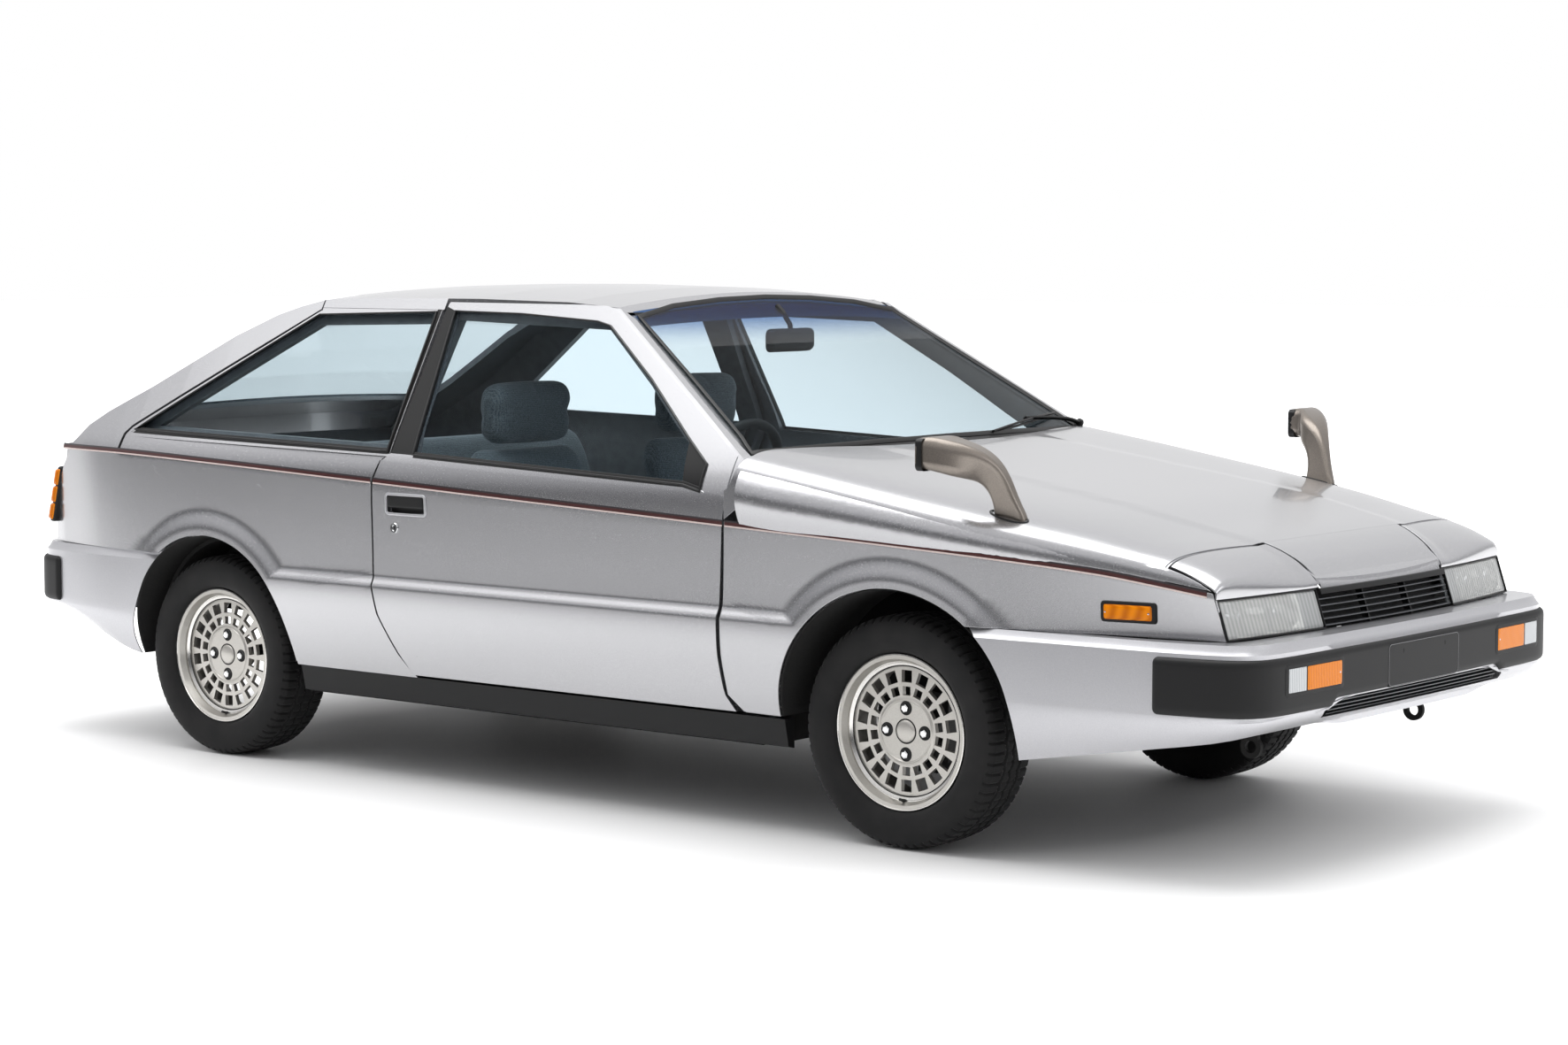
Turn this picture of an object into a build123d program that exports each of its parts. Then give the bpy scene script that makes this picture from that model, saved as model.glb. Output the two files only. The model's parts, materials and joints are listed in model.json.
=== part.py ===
from build123d import *
import math
import os

# A two-door hatchback coupe. Millimetres. +X runs forward, +Y to the car's left, +Z up.
# The origin is on the ground under the middle of the car's overall length.

# ---- overall and running gear
front_axle_x = 1138.0
wheelbase = 2440.0
tyre_radius = 288.0
tyre_width = 185.0
track_half = 681.0            # centre of the wheel to the centre line
rim_radius = 180.0            # bead seat, 14 in wheel
rim_lip_radius = 191.5
rim_width = 150.0
wheel_bolt_circle = 114.3
wheel_bolt_bore = 12.6
hub_bore_radius = 20.0
fit_gap = 0.3                 # turning or seated pieces
steer_limit = 33.0

# ---- body
sill_bottom_z = 262.0
step_low_z = 536.0            # lower edge of the step along the side
step_high_z = 569.0
step_depth = 13.0
glass_lean = 0.545            # inward lean of the side glass, y per z
glass_foot_z = 869.4          # where the leaning side would meet the crease line
shoulder_round = 12.0
low_tuck = 42.0               # how far the side tucks in at the sill
low_wall = 45.0               # thickness of a door below its window
high_wall = 20.0              # thickness of a window frame
roof_wall = 22.0
frame_wall = 26.0             # thickness of the inner body frame
panel_gap = 7.0
seam = 6.0                    # shut line
skin = 12.0                   # bonnet and front wings
nose_x = 2044.0
nose_bow = 1.05e-4            # plan curve of the nose, x per y squared
nose_lean = 0.33
bumper_front_x = 2155.0
bumper_rear_x = -2155.0

# ---- glass
glass_thickness = 5.0
screen_foot_x = 761.0
screen_foot_z = 941.0
screen_slope = 1.715          # x per z
screen_bow = 1.64e-4          # plan curve of the windscreen, x per y squared
screen_slab = 10.0            # glass thickness measured along x

# ---- hinges
door_hinge_x = 622.0
door_hinge_y = 822.0
door_open = 65.0
bonnet_hinge_x = 2070.0
bonnet_hinge_z = 640.0
tailgate_hinge_x = -1036.0
tailgate_hinge_z = 1345.0

rear_axle_x = front_axle_x - wheelbase


def curve(*points):
    """A smooth curve z(x) through a few points: cubic pieces whose slope at each point
    is that of the line through its two neighbours, straight beyond both ends."""
    xs = [p[0] for p in points]
    zs = [p[1] for p in points]
    last = len(xs) - 1
    slopes = []
    for i in range(len(xs)):
        a, b = max(i - 1, 0), min(i + 1, last)
        slopes.append((zs[b] - zs[a]) / (xs[b] - xs[a]))

    def value(x):
        if x <= xs[0]:
            return zs[0] + (x - xs[0]) * slopes[0]
        if x >= xs[last]:
            return zs[last] + (x - xs[last]) * slopes[last]
        i = max(k for k in range(last) if xs[k] <= x)
        h = xs[i + 1] - xs[i]
        t = (x - xs[i]) / h
        return (
            (2 * t**3 - 3 * t**2 + 1) * zs[i]
            + (t**3 - 2 * t**2 + t) * h * slopes[i]
            + (3 * t**2 - 2 * t**3) * zs[i + 1]
            + (t**3 - t**2) * h * slopes[i + 1]
        )

    return value


# plan half width at the step, and the height of the crease along the side
half_width = curve(
    (-2060, 738), (-1990, 762), (-1781, 804), (-1484, 824), (-1000, 829), (0, 830),
    (700, 828), (1200, 823), (1405, 810), (1571, 783), (1813, 737), (2039, 700),
)
crease_z = curve(
    (-1990, 862), (-1661, 861), (-1215, 847), (-601, 822), (-108, 801), (337, 783),
    (808, 763), (1119, 750), (1416, 734), (1699, 709), (1850, 688), (1993, 666),
)
# bonnet centre line and how square its section is
bonnet_z = curve(
    (640, 968), (900, 931), (1151, 894), (1400, 858), (1590, 828), (1750, 794),
    (1907, 757), (1985, 718), (2044, 667), (2110, 654),
)
bonnet_power = curve((640, 9.0), (1047, 7.0), (1488, 4.8), (1874, 4.6), (2044, 5.0))
# roof centre line, and the edge between the side and the roof, which falls to the tail
roof_z = curve(
    (-2045, 884), (-1936, 893), (-1870, 955), (-1791, 1000), (-1630, 1078), (-1485, 1157),
    (-1345, 1236), (-1202, 1300), (-1034, 1342), (-921, 1349), (-700, 1355), (-432, 1357),
    (-100, 1351), (108, 1336), (300, 1312), (800, 1240),
)
edge_z = curve(
    (-2045, 876), (-1936, 880), (-1870, 935), (-1791, 977), (-1630, 1051), (-1485, 1129),
    (-1345, 1206), (-1202, 1268), (-1034, 1312), (-921, 1319), (-700, 1321), (-432, 1322),
    (-100, 1316), (108, 1300), (300, 1276), (800, 1204),
)


def side_y(x, z):
    """Half width of the body at a place on its side."""
    width, crease = half_width(x), crease_z(x)
    if z < step_low_z:
        fall = min((step_low_z - z) / 236.0, 2.0)
        return width - low_tuck * fall**2
    if z < step_high_z:
        t = (z - step_low_z) / (step_high_z - step_low_z)
        return width - step_depth * t * t * (3 - 2 * t)
    if z < crease:
        t = (z - step_high_z) / (crease - step_high_z)
        return width - step_depth + 7.0 * t**1.5

    def lean(height):
        return shoulder_round * math.log1p(
            math.exp((height - glass_foot_z) * glass_lean / shoulder_round)
        )

    return width - 6.0 - (lean(z) - lean(crease))


def screen_x(y, z):
    """The windscreen's outer surface: leaning back, bowed in plan."""
    return screen_foot_x - screen_slope * (z - screen_foot_z) - screen_bow * y * y


def cabin_hull(stations, low, high, top, floor):
    """Solid of the cabin's outline, moved in by low beside the doors, by high beside
    the glass and by top at the roof."""
    with BuildPart() as hull:
        for x in stations:
            crease = crease_z(x)
            edge = edge_z(x) - 0.7 * top
            with BuildSketch(Plane.YZ.offset(x)):
                with BuildLine():
                    sill = (side_y(x, floor) - low, floor)
                    tuck_z = (floor + step_low_z) / 2
                    tuck = (side_y(x, tuck_z) - low, tuck_z)
                    step = (half_width(x) - low, step_low_z)
                    ledge = (half_width(x) - step_depth - low, step_high_z)
                    belt = (half_width(x) - 6 - low, min(crease, edge - 8))
                    side = [belt]
                    for share in (0.25, 0.5, 0.75, 1.0):
                        z = belt[1] + (edge - belt[1]) * share
                        inset = low + (high - low) * min(1.0, max(0.0, (z - 860) / 70))
                        side.append((side_y(x, z) - inset, z))
                    for sign in (1, -1):
                        Spline(*[(sign * y, z) for y, z in (sill, tuck, step)])
                        Line((sign * step[0], step[1]), (sign * ledge[0], ledge[1]))
                        Line((sign * ledge[0], ledge[1]), (sign * belt[0], belt[1]))
                        Spline(*[(sign * y, z) for y, z in side])
                    Line((-sill[0], sill[1]), (sill[0], sill[1]))
                    ThreePointArc(
                        (-side[-1][0], side[-1][1]),
                        (0, roof_z(x) - top),
                        (side[-1][0], side[-1][1]),
                    )
                make_face()
        loft(ruled=True)
    return hull.part


def front_hull(stations, inset, floor):
    """Solid of the bonnet and front wings' outline, moved in by inset."""
    with BuildPart() as hull:
        for x in stations:
            crease, top, power = crease_z(x), bonnet_z(x), bonnet_power(x)
            edge_y = half_width(x) - 6 - inset
            with BuildSketch(Plane.YZ.offset(x)):
                with BuildLine():
                    sill = (side_y(x, floor) - inset, floor)
                    tuck = (side_y(x, 410) - inset, 410)
                    step = (half_width(x) - inset, step_low_z)
                    ledge = (half_width(x) - step_depth - inset, step_high_z)
                    for sign in (1, -1):
                        Spline(*[(sign * y, z) for y, z in (sill, tuck, step)])
                        Line((sign * step[0], step[1]), (sign * ledge[0], ledge[1]))
                        Line((sign * ledge[0], ledge[1]), (sign * edge_y, crease))
                    Line((-sill[0], sill[1]), (sill[0], sill[1]))
                    crown = []
                    for share in (-1, -0.985, -0.94, -0.84, -0.62, -0.3, 0,
                                  0.3, 0.62, 0.84, 0.94, 0.985, 1):
                        rise = (1 - abs(share) ** power) ** (1 / power)
                        z = crease + max(top - inset - crease, 1) * rise
                        crown.append((edge_y * share, z))
                    Spline(*crown)
                make_face()
        loft()
    return hull.part


def side_prism(points, sign, inner=0.0, outer=1000.0):
    """Prism with an outline in X and Z, on one side of the car."""
    near, far = (inner, outer) if sign > 0 else (-outer, -inner)
    with BuildPart() as prism:
        with BuildSketch(Plane.XZ.offset(-far)):
            with BuildLine():
                Polyline(*points, close=True)
            make_face()
        extrude(amount=far - near)
    return prism.part


def plan_prism(points, low, high):
    """Prism with an outline in X and Y."""
    with BuildPart() as prism:
        with BuildSketch(Plane.XY.offset(low)):
            with BuildLine():
                Polyline(*points, close=True)
            make_face()
        extrude(amount=high - low)
    return prism.part


def block(x0, x1, y0, y1, z0, z1):
    """Box between two corners."""
    with BuildPart() as box:
        with Locations(((x0 + x1) / 2, (y0 + y1) / 2, (z0 + z1) / 2)):
            Box(x1 - x0, y1 - y0, z1 - z0)
    return box.part


def rod(start, direction, radius, length):
    """Round bar from a point along a direction."""
    with BuildPart() as bar:
        with BuildSketch(Plane(origin=start, z_dir=direction)):
            Circle(radius)
        extrude(amount=length)
    return bar.part


def ahead_of_screen(shift):
    """Everything in front of the windscreen's surface moved along X by shift."""
    with BuildPart() as cutter:
        with BuildSketch(Plane.XY.offset(600)):
            with BuildLine():
                x_side = screen_x(900, 600) + shift
                x_mid = screen_x(0, 600) + shift
                ThreePointArc((x_side, -900), (x_mid, 0), (x_side, 900))
                Polyline((x_side, 900), (3200, 900), (3200, -900), (x_side, -900))
            make_face()
        extrude(amount=900 * math.hypot(screen_slope, 1), dir=(-screen_slope, 0, 1))
    return cutter.part


def ahead_of_nose(shift):
    """Everything in front of the nose's surface moved along X by shift."""
    with BuildPart() as cutter:
        with BuildSketch(Plane.XY.offset(200)):
            with BuildLine():
                foot = nose_x + nose_lean * (665 - 200) + shift
                x_side = foot - nose_bow * 900**2
                ThreePointArc((x_side, -900), (foot, 0), (x_side, 900))
                Polyline((x_side, 900), (2900, 900), (2900, -900), (x_side, -900))
            make_face()
        extrude(amount=900, dir=(-nose_lean, 0, 1))
    return cutter.part


os.makedirs("parts", exist_ok=True)


def save(shape, name):
    """Keep only real solids, label the piece and write its file."""
    solids = [s for s in shape.solids() if s.volume > 200]
    piece = Compound(children=solids) if len(solids) > 1 else solids[0]
    piece.label = name
    export_step(piece, f"parts/{name}.step")
    print(name, len(solids), round(piece.volume))
    return piece


def save_pair(shape, name):
    """Write a right-hand piece and its mirror image on the left."""
    save(shape, f"{name}_right")
    save(shape.mirror(Plane.XZ), f"{name}_left")


# ---------------------------------------------------------------- hulls
tail_stations = (-1990, -1936, -1870, -1791, -1710, -1630, -1485, -1345, -1202, -1120, -1034)
main_stations = (-921, -700, -432, -100, 108, 300, 550)
outer_hull = cabin_hull((-2090,) + tail_stations + main_stations + (800,), 0, 0, 0, sill_bottom_z)
inner_hull = cabin_hull(
    (-2091,) + tail_stations + main_stations + (801,), low_wall, high_wall, roof_wall,
    sill_bottom_z - 40,
)
cabin_shell = outer_hull - inner_hull
frame_bottom_z = 232.0
frame_hole = frame_wall + panel_gap
frame_outer = cabin_hull(
    (-2089,) + tail_stations + main_stations + (700,), low_wall + panel_gap,
    high_wall + panel_gap, roof_wall + panel_gap, frame_bottom_z,
)
frame_inner = cabin_hull(
    (-2091,) + tail_stations + main_stations + (701,), low_wall + frame_hole,
    high_wall + frame_hole, roof_wall + frame_hole, frame_bottom_z - 30,
)
seat_hull = cabin_hull(
    (-2091,) + tail_stations + main_stations + (801,), low_wall + panel_gap - fit_gap,
    high_wall + panel_gap - fit_gap, roof_wall + panel_gap - fit_gap, sill_bottom_z - 40,
)
fixed_shell = outer_hull - seat_hull
hinge_hull = cabin_hull((-1202, -1120, -1034, -921), low_wall + fit_gap, high_wall + fit_gap,
                        roof_wall + fit_gap, sill_bottom_z)
front_stations = (600, 760, 950, 1138, 1416, 1600, 1760, 1907, 1985, 2100)
front_outer = front_hull(front_stations, 0, sill_bottom_z)
front_inner = front_hull((599,) + front_stations[1:-1] + (2101,), skin, 240)
front_shell = front_outer - front_inner
front_clear = front_hull((598,) + front_stations[1:-1] + (2102,), skin + fit_gap, 200)

# ---------------------------------------------------------------- outlines, x and z
door_bottom_z = 300.0
door_rear_edge = [(-453, 270), (-524, 356), (-585, 463), (-603, 539), (-607, 573),
                  (-606, 769), (-603, 825), (-579, 888), (-548, 906), (-536, 1318)]
door_front_edge = [(140, 1318), (680, 948), (680, 940), (645, 856), (632, 773), (618, 561),
                   (617, 445), (624, 343), (668, 270)]
door_outline = door_rear_edge + door_front_edge
door_window = [(-501, 1288), (-250, 1284), (32, 1268), (82, 1257), (286, 1124), (474, 984),
               (563, 921), (559, 855), (501, 868), (-463, 903)]
door_aperture = [(-430, 335), (-505, 400), (-550, 480), (-565, 570), (-560, 800), (-520, 890),
                 (-500, 1262), (60, 1245), (270, 1105), (430, 985), (520, 925), (560, 850),
                 (570, 450), (590, 345)]
quarter_window = [(-1618, 932), (-1618, 940), (-1026, 1270), (-1016, 1282), (-569, 1285),
                  (-563, 909), (-1610, 928)]
quarter_hole = [(-1560, 942), (-1040, 1240), (-600, 1250), (-592, 924)]
screen_outline = [(-738, 941), (-710, 985), (-555, 1283), (-400, 1306), (-200, 1321), (0, 1326),
                  (200, 1321), (400, 1306), (555, 1283), (710, 985), (738, 941), (600, 948),
                  (300, 954), (0, 956), (-300, 954), (-600, 948)]
arch_lead = 12.0              # each arch stands a little ahead of its wheel
front_arch = (front_axle_x + arch_lead, tyre_radius, 358.0)
rear_arch = (rear_axle_x + arch_lead, tyre_radius + 12, 341.0)
behind_arch_x = rear_arch[0] - 110
tailgate_seam_z = 862.0
bumper_line_z = 569.0


def arch_cut(arch, sign, grow=0.0, inner=430.0):
    """Wheel arch opening on one side."""
    x, z, radius = arch
    return rod((x, sign * inner, z), (0, sign, 0), radius + grow, 700)


def behind_tail(shift):
    """Everything behind the tail's face, bowed in plan and leaning forward, moved
    backward by shift."""
    lean, low = 0.25, 200
    with BuildPart() as cutter:
        with BuildSketch(Plane.XY.offset(low)):
            with BuildLine():
                foot = -2075 - lean * (565 - low) - shift
                x_side = foot + 6.4e-5 * 900**2
                ThreePointArc((x_side, -900), (foot, 0), (x_side, 900))
                Polyline((x_side, 900), (-2900, 900), (-2900, -900), (x_side, -900))
            make_face()
        extrude(amount=900, dir=(lean, 0, 1))
    return cutter.part


# ---------------------------------------------------------------- doors and side glass
glass_out = cabin_hull((-1700, -1630, -1485, -1345, -1202, -1034) + main_stations + (700,),
                       5, 6, 6, 480)
glass_in = cabin_hull((-1701, -1630, -1485, -1345, -1202, -1034) + main_stations + (701,),
                      5 + glass_thickness, 6 + glass_thickness, 12, 460)
side_glass = glass_out - glass_in
glass_rebate = 0.3


def shrunk(points, by):
    """Outline moved towards its middle by a distance."""
    cx = sum(p[0] for p in points) / len(points)
    cz = sum(p[1] for p in points) / len(points)
    return [
        (x + by * (cx - x) / math.hypot(cx - x, cz - z), z + by * (cz - z) / math.hypot(cx - x, cz - z))
        for x, z in points
    ]


door = cabin_shell & side_prism(door_outline, -1, 300)
door -= block(-700, 400, -584, -300, 1230, 1400)
door -= ahead_of_screen(6)
door -= side_prism(door_window, -1, 300)
door -= block(-800, 800, -900, 900, 200, door_bottom_z)
door -= side_prism([(-552, 741), (-404, 747), (-404, 795), (-552, 791)], -1, 806)
save_pair(door, "door")
save_pair(side_glass & side_prism(shrunk(door_window, glass_rebate), -1, 300), "door_glass")

# tail lamps wrap round the rear corners
lamp_z0, lamp_z1, lamp_y, lamp_x = 643.0, 796.0, 360.0, -1967.0
tail_panel = frame_outer & (behind_tail(-45) - behind_tail(0))
tail_panel &= block(-2150, -1900, -712, 712, bumper_line_z + 10, 814)
tail_panel -= behind_tail(-16) & block(-2150, -1900, -340, 340, 625, 790)


def lamp_space(sign, gap):
    """Room for one tail lamp: across the tail, and along the side."""
    y0, y1 = sorted((sign * (lamp_y - gap), sign * 860))
    z0, z1 = lamp_z0 - gap, lamp_z1 + gap
    s0, s1 = sorted((sign * (722 - gap), sign * 860))
    return (behind_tail(-25 - gap) & block(-2150, -1900, y0, y1, z0, z1)) + block(
        -2150, lamp_x + gap, s0, s1, z0, z1)


tail_lamps = []
for sign in (-1, 1):
    tail_lamps.append((outer_hull & lamp_space(sign, 0)) - behind_tail(0))
    tail_panel -= lamp_space(sign, fit_gap)
save(tail_panel, "tail_panel")

# ---------------------------------------------------------------- roof, quarters, tailgate
roof = fixed_shell & block(-1029, 300, -578, 578, 1291, 1400)
roof_bands = fixed_shell & block(-1029, -550, -700, 700, 1291, 1400)
roof = (roof + roof_bands) - ahead_of_screen(-screen_slab - 1)
save(roof, "roof_panel")

quarter_outline = [(-459, 270), (-530, 356), (-591, 463), (-609, 539), (-613, 573), (-612, 769),
                   (-609, 825), (-585, 888), (-554, 906), (-554, 1290), (-1028, 1290),
                   (-1028, 1281), (-1644, 936), (-1664, 916), (-1677, tailgate_seam_z - 3),
                   (-2100, tailgate_seam_z - 3), (-2100, bumper_line_z + 9),
                   (behind_arch_x, bumper_line_z + 9), (behind_arch_x, 270)]
quarter = fixed_shell & side_prism(quarter_outline, -1, 300)
quarter -= side_prism(quarter_window, -1, 300)
quarter -= arch_cut(rear_arch, -1, inner=300)
quarter -= behind_tail(0)
quarter -= block(-2100, 800, -900, 900, 200, 293)
quarter -= lamp_space(-1, fit_gap)
quarter -= block(-2100, -1900, -668, -300, 800, 900)
save_pair(quarter, "quarter")

tail_outline = [(-1034, 1400), (-1034, 1287), (-1650, 942), (-1676, 918),
                (-1688, tailgate_seam_z + 3), (-2100, tailgate_seam_z + 3), (-2100, 1400)]
tailgate_hole = [(-1085, -505), (-1085, 505), (-1800, 610), (-1800, -610)]
tailgate = cabin_shell & (side_prism(tail_outline, 1, 0) + side_prism(tail_outline, -1, 0))
tailgate -= behind_tail(0)
tailgate -= plan_prism(tailgate_hole, 600, 1500)
lip = outer_hull & block(-2100, -1962, -664, 664, 822, 1000)
tailgate += lip - behind_tail(0)
save(tailgate, "tailgate")
tail_glass = (cabin_hull((-2090,) + tail_stations, 5, 6, 3, 480)
              - cabin_hull((-2091,) + tail_stations[:-1] + (-1033,), 12, 12, 3 + glass_thickness, 460))
tail_glass = tail_glass & plan_prism([(-1085.3, -504.7), (-1085.3, 504.7), (-1799.7, 609.6),
                                      (-1799.7, -609.6)], 880, 1500)
save(tail_glass, "tailgate_glass")

# ---------------------------------------------------------------- fixed glass
with BuildPart() as screen_prism:
    with BuildSketch(Plane.YZ):
        with BuildLine():
            Polyline(*screen_outline, close=True)
        make_face()
    extrude(amount=1500)
windscreen = screen_prism.part & (ahead_of_screen(-screen_slab) - ahead_of_screen(0))
fixed_glass = windscreen + (side_glass & side_prism(shrunk(quarter_window, glass_rebate), -1, 300))
fixed_glass += side_glass & side_prism(shrunk(quarter_window, glass_rebate), 1, 300)
save(fixed_glass, "fixed_glass")

# ---------------------------------------------------------------- inner body frame
frame = frame_outer - frame_inner
frame -= ahead_of_screen(-screen_slab - 0.5)
for sign in (-1, 1):
    frame -= side_prism(door_aperture, sign, 300)
    frame -= side_prism(quarter_hole, sign, 300)
    frame -= arch_cut(rear_arch, sign, grow=6, inner=300)
    frame -= rod((door_hinge_x, sign * door_hinge_y, 835), (0, 0, 1), 92, 200)
frame -= plan_prism([(-1075, -470), (-1075, 470), (-1900, 560), (-2050, 560), (-2050, -560),
                     (-1900, -560)], 830, 1500)
frame -= block(-2100, behind_arch_x, -900, 900, 200, 400)
frame -= block(-2100, -1930, -900, 900, 200, 1400)
for sign in (-1, 1):
    # tailgate hinges under the roof's rear edge, door hinges in front of each door
    y0, y1 = sorted((sign * 380, sign * 425))
    frame += (hinge_hull - frame_inner) & block(-1085, -1042, y0, y1, 1200, 1400)
    for x0, z0, z1 in ((621.9, 380, 420), (632.3, 735, 770)):
        y0, y1 = sorted((sign * 765, sign * 792))
        frame += block(x0, 660, y0, y1, z0, z1)
save(frame, "cabin_frame")

# ---------------------------------------------------------------- bonnet, wings, lids
crease_points = [(x, crease_z(x)) for x in (700, 808, 960, 1119, 1270, 1416, 1560, 1699, 1850,
                                            1993, 2100)]
wing_outline = ([(676, 300), (631, 343), (625, 445), (626, 561), (640, crease_z(640) - 3)]
                + [(x, z - 3) for x, z in crease_points]
                + [(2110, bumper_line_z), (1300, bumper_line_z), (1300, 300)])
bonnet_outline = ([(640, 1100), (640, crease_z(640) + 3)]
                  + [(x, z + 3) for x, z in crease_points] + [(2110, 1100)])
lid_plan = [(1880, 760), (1880, 715), (1913, 340), (2120, 303), (2120, 760)]
lid_hole = [(1869, 800), (1869, 712), (1902, 333), (1902, 331), (2140, 290), (2140, 800)]
lamp_window = (316.0, 698.0)
marker_x0, marker_x1 = 1719.0, 1842.0
wing = front_shell & side_prism(wing_outline, -1, 300)
wing -= arch_cut(front_arch, -1, inner=300)
wing -= ahead_of_nose(0)
wing -= block(1940, 2200, -lamp_window[1] - fit_gap, -300, 500, 700)
wing -= block(marker_x0 - fit_gap, marker_x1 + fit_gap, -900, -600, 605 - fit_gap, 645 + fit_gap)
save_pair(wing, "front_wing")
lid = front_shell & plan_prism([(x, -y) for x, y in lid_plan], 500, 900)
lid &= side_prism(bonnet_outline, -1, 0)
lid -= ahead_of_nose(0)
save_pair(lid, "headlamp_lid")
bonnet = front_shell & (side_prism(bonnet_outline, 1, 0) + side_prism(bonnet_outline, -1, 0))
bonnet_rear_x = 690.0         # its side edge, below the foot of the windscreen
bonnet &= ahead_of_screen(30) + block(bonnet_rear_x, 2200, -900, 900, 500, 925)
bonnet -= ahead_of_nose(0)
for sign in (-1, 1):
    bonnet -= plan_prism([(x, sign * y) for x, y in lid_hole], 500, 900)
    bonnet -= side_prism([(600, 700), (638, 700), (638, 773), (651, 856), (688, 946), (688, 1100),
                          (600, 1100)], sign, 0)
save(bonnet, "bonnet")

# ---------------------------------------------------------------- bumpers and lamps
front_plan = [(1440, 812), (1700, 800), (1890, 790), (2050, 760), (2110, 735), (2140, 640),
              (2150, 420), (bumper_front_x, 150)]
rear_plan = [(-1600, 806), (-1800, 800), (-1950, 786), (-2060, 765), (-2125, 728), (-2148, 600),
             (bumper_rear_x, 150)]
bumper_wall = 40.0
pad_depth = 12.0
pad_z0, pad_z1 = 402.0, 537.0


def bumper_slab(plan, inset, z0, z1):
    """Slab with a bumper's outline in plan, its rim moved in by inset."""
    back = plan[0][0]
    outline = plan + [(x, -y) for x, y in reversed(plan)]
    with BuildPart() as slab:
        with BuildSketch(Plane.XY.offset(z0)):
            with BuildLine():
                Polyline(*outline, close=True)
            make_face()
            if inset:
                offset(amount=-inset, kind=Kind.INTERSECTION)
                with Locations((back, 0)):
                    Rectangle(2 * inset + 2, 2 * (plan[0][1] - inset))
        extrude(amount=z1 - z0)
    return slab.part


def bumper(plan, pad_from, low_points, top_z):
    """Bumper ring with a cover plate on top, its underside rising to the end."""
    towards = 1 if plan[0][0] > 0 else -1
    ring = bumper_slab(plan, 0, 240, top_z) - bumper_slab(plan, bumper_wall, 230, top_z - 12)
    ring -= block(*sorted((pad_from, towards * 2200)), -900, 900, pad_z0 - fit_gap,
                  pad_z1 + fit_gap) - bumper_slab(plan, pad_depth + fit_gap, 300, 600)
    ring -= side_prism(low_points, 1, 0) + side_prism(low_points, -1, 0)
    return ring


def pad(plan, pad_from):
    towards = 1 if plan[0][0] > 0 else -1
    shell = bumper_slab(plan, 0, pad_z0, pad_z1) - bumper_slab(plan, pad_depth, 300, 600)
    return shell & block(*sorted((pad_from + towards * fit_gap, towards * 2200)), -900, 900, 300, 600)


front_low = [(1400, 100), (1400, 240), (1532, 262), (1858, 314), (2000, 335), (2200, 372), (2200, 100)]
rear_low = [(-1500, 100), (-1560, 262), (-1684, 281), (-1775, 309), (-2016, 389), (-2200, 400),
            (-2200, 100)]
top_hole = block(1400, 1946, -770, 770, 500, 700)
front_bumper = bumper(front_plan, 1890, front_low, bumper_line_z - fit_gap) - top_hole
front_bumper -= block(2000, 2200, -440, 440, 380, pad_z0 - 4)
rear_top = bumper_line_z + 9 - fit_gap
rear_bumper = bumper(rear_plan, -1995, rear_low, rear_top) - block(-1955, -1500, -770, 770, 500, 700)
for sign in (-1, 1):
    front_bumper -= arch_cut(front_arch, sign, inner=300)
    rear_bumper -= arch_cut(rear_arch, sign, inner=300)
# number plate holes in the front bumper, through the pad's middle
plate_hole_pitch, plate_hole_radius, plate_z = 210.0, 3.0, 504.0
pads = pad(front_plan, 1890) + pad(rear_plan, -1995)
plate_space = block(2100, 2200, -190, 190, 433, 530)
pads -= plate_space
front_bumper += bumper_slab(front_plan, 4, 433.3, 529.7) & (
    block(2100, 2200, -189.7, 189.7, 433.3, 529.7) - bumper_slab(front_plan, pad_depth + 2, 300, 600))
for y in (-plate_hole_pitch / 2, plate_hole_pitch / 2):
    front_bumper -= rod((2090, y, plate_z), (1, 0, 0), plate_hole_radius, 100)
signals = []
for sign in (-1, 1):
    y0, y1 = sorted((sign * 389, sign * 630))
    pads -= block(2080, 2200, y0, y1, 453, 512)
    lens = pad(front_plan, 1890) & block(2080, 2200, y0 + fit_gap, y1 - fit_gap, 453.3, 511.7)
    signals.append(lens)
    y0, y1 = sorted((sign * 600, sign * 900))
    signals.append(front_shell & block(marker_x0, marker_x1, y0, y1, 605, 645))
save(front_bumper, "front_bumper")
save(rear_bumper, "rear_bumper")
save(pads, "bumper_pads")
save(Compound(children=[s for lens in signals + tail_lamps for s in lens.solids()]), "signal_lamps")

lamp_top_z = 648.0
panel_x0, panel_x1 = 1930.0, 1945.0
lamps = Part()
for sign in (-1, 1):
    y0, y1 = sorted((sign * lamp_window[0], sign * lamp_window[1]))
    lamps += block(panel_x1 + fit_gap, 2200, y0, y1, bumper_line_z, lamp_top_z) - ahead_of_nose(-1)
save(lamps, "headlamps")

grille_half, bar_count, bar_height = 310.0, 5, 7.0
grille = block(panel_x1 + fit_gap, 2200, -grille_half, grille_half, bumper_line_z, lamp_top_z)
grille -= ahead_of_nose(-6)
gap_count = bar_count + 1
slot_height = (lamp_top_z - bumper_line_z - 12 - bar_count * bar_height) / gap_count
for i in range(gap_count):
    z0 = bumper_line_z + 6 + i * (slot_height + bar_height)
    grille -= block(2006, 2200, -grille_half + 8, grille_half - 8, z0, z0 + slot_height)
save(grille, "grille")

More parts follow.
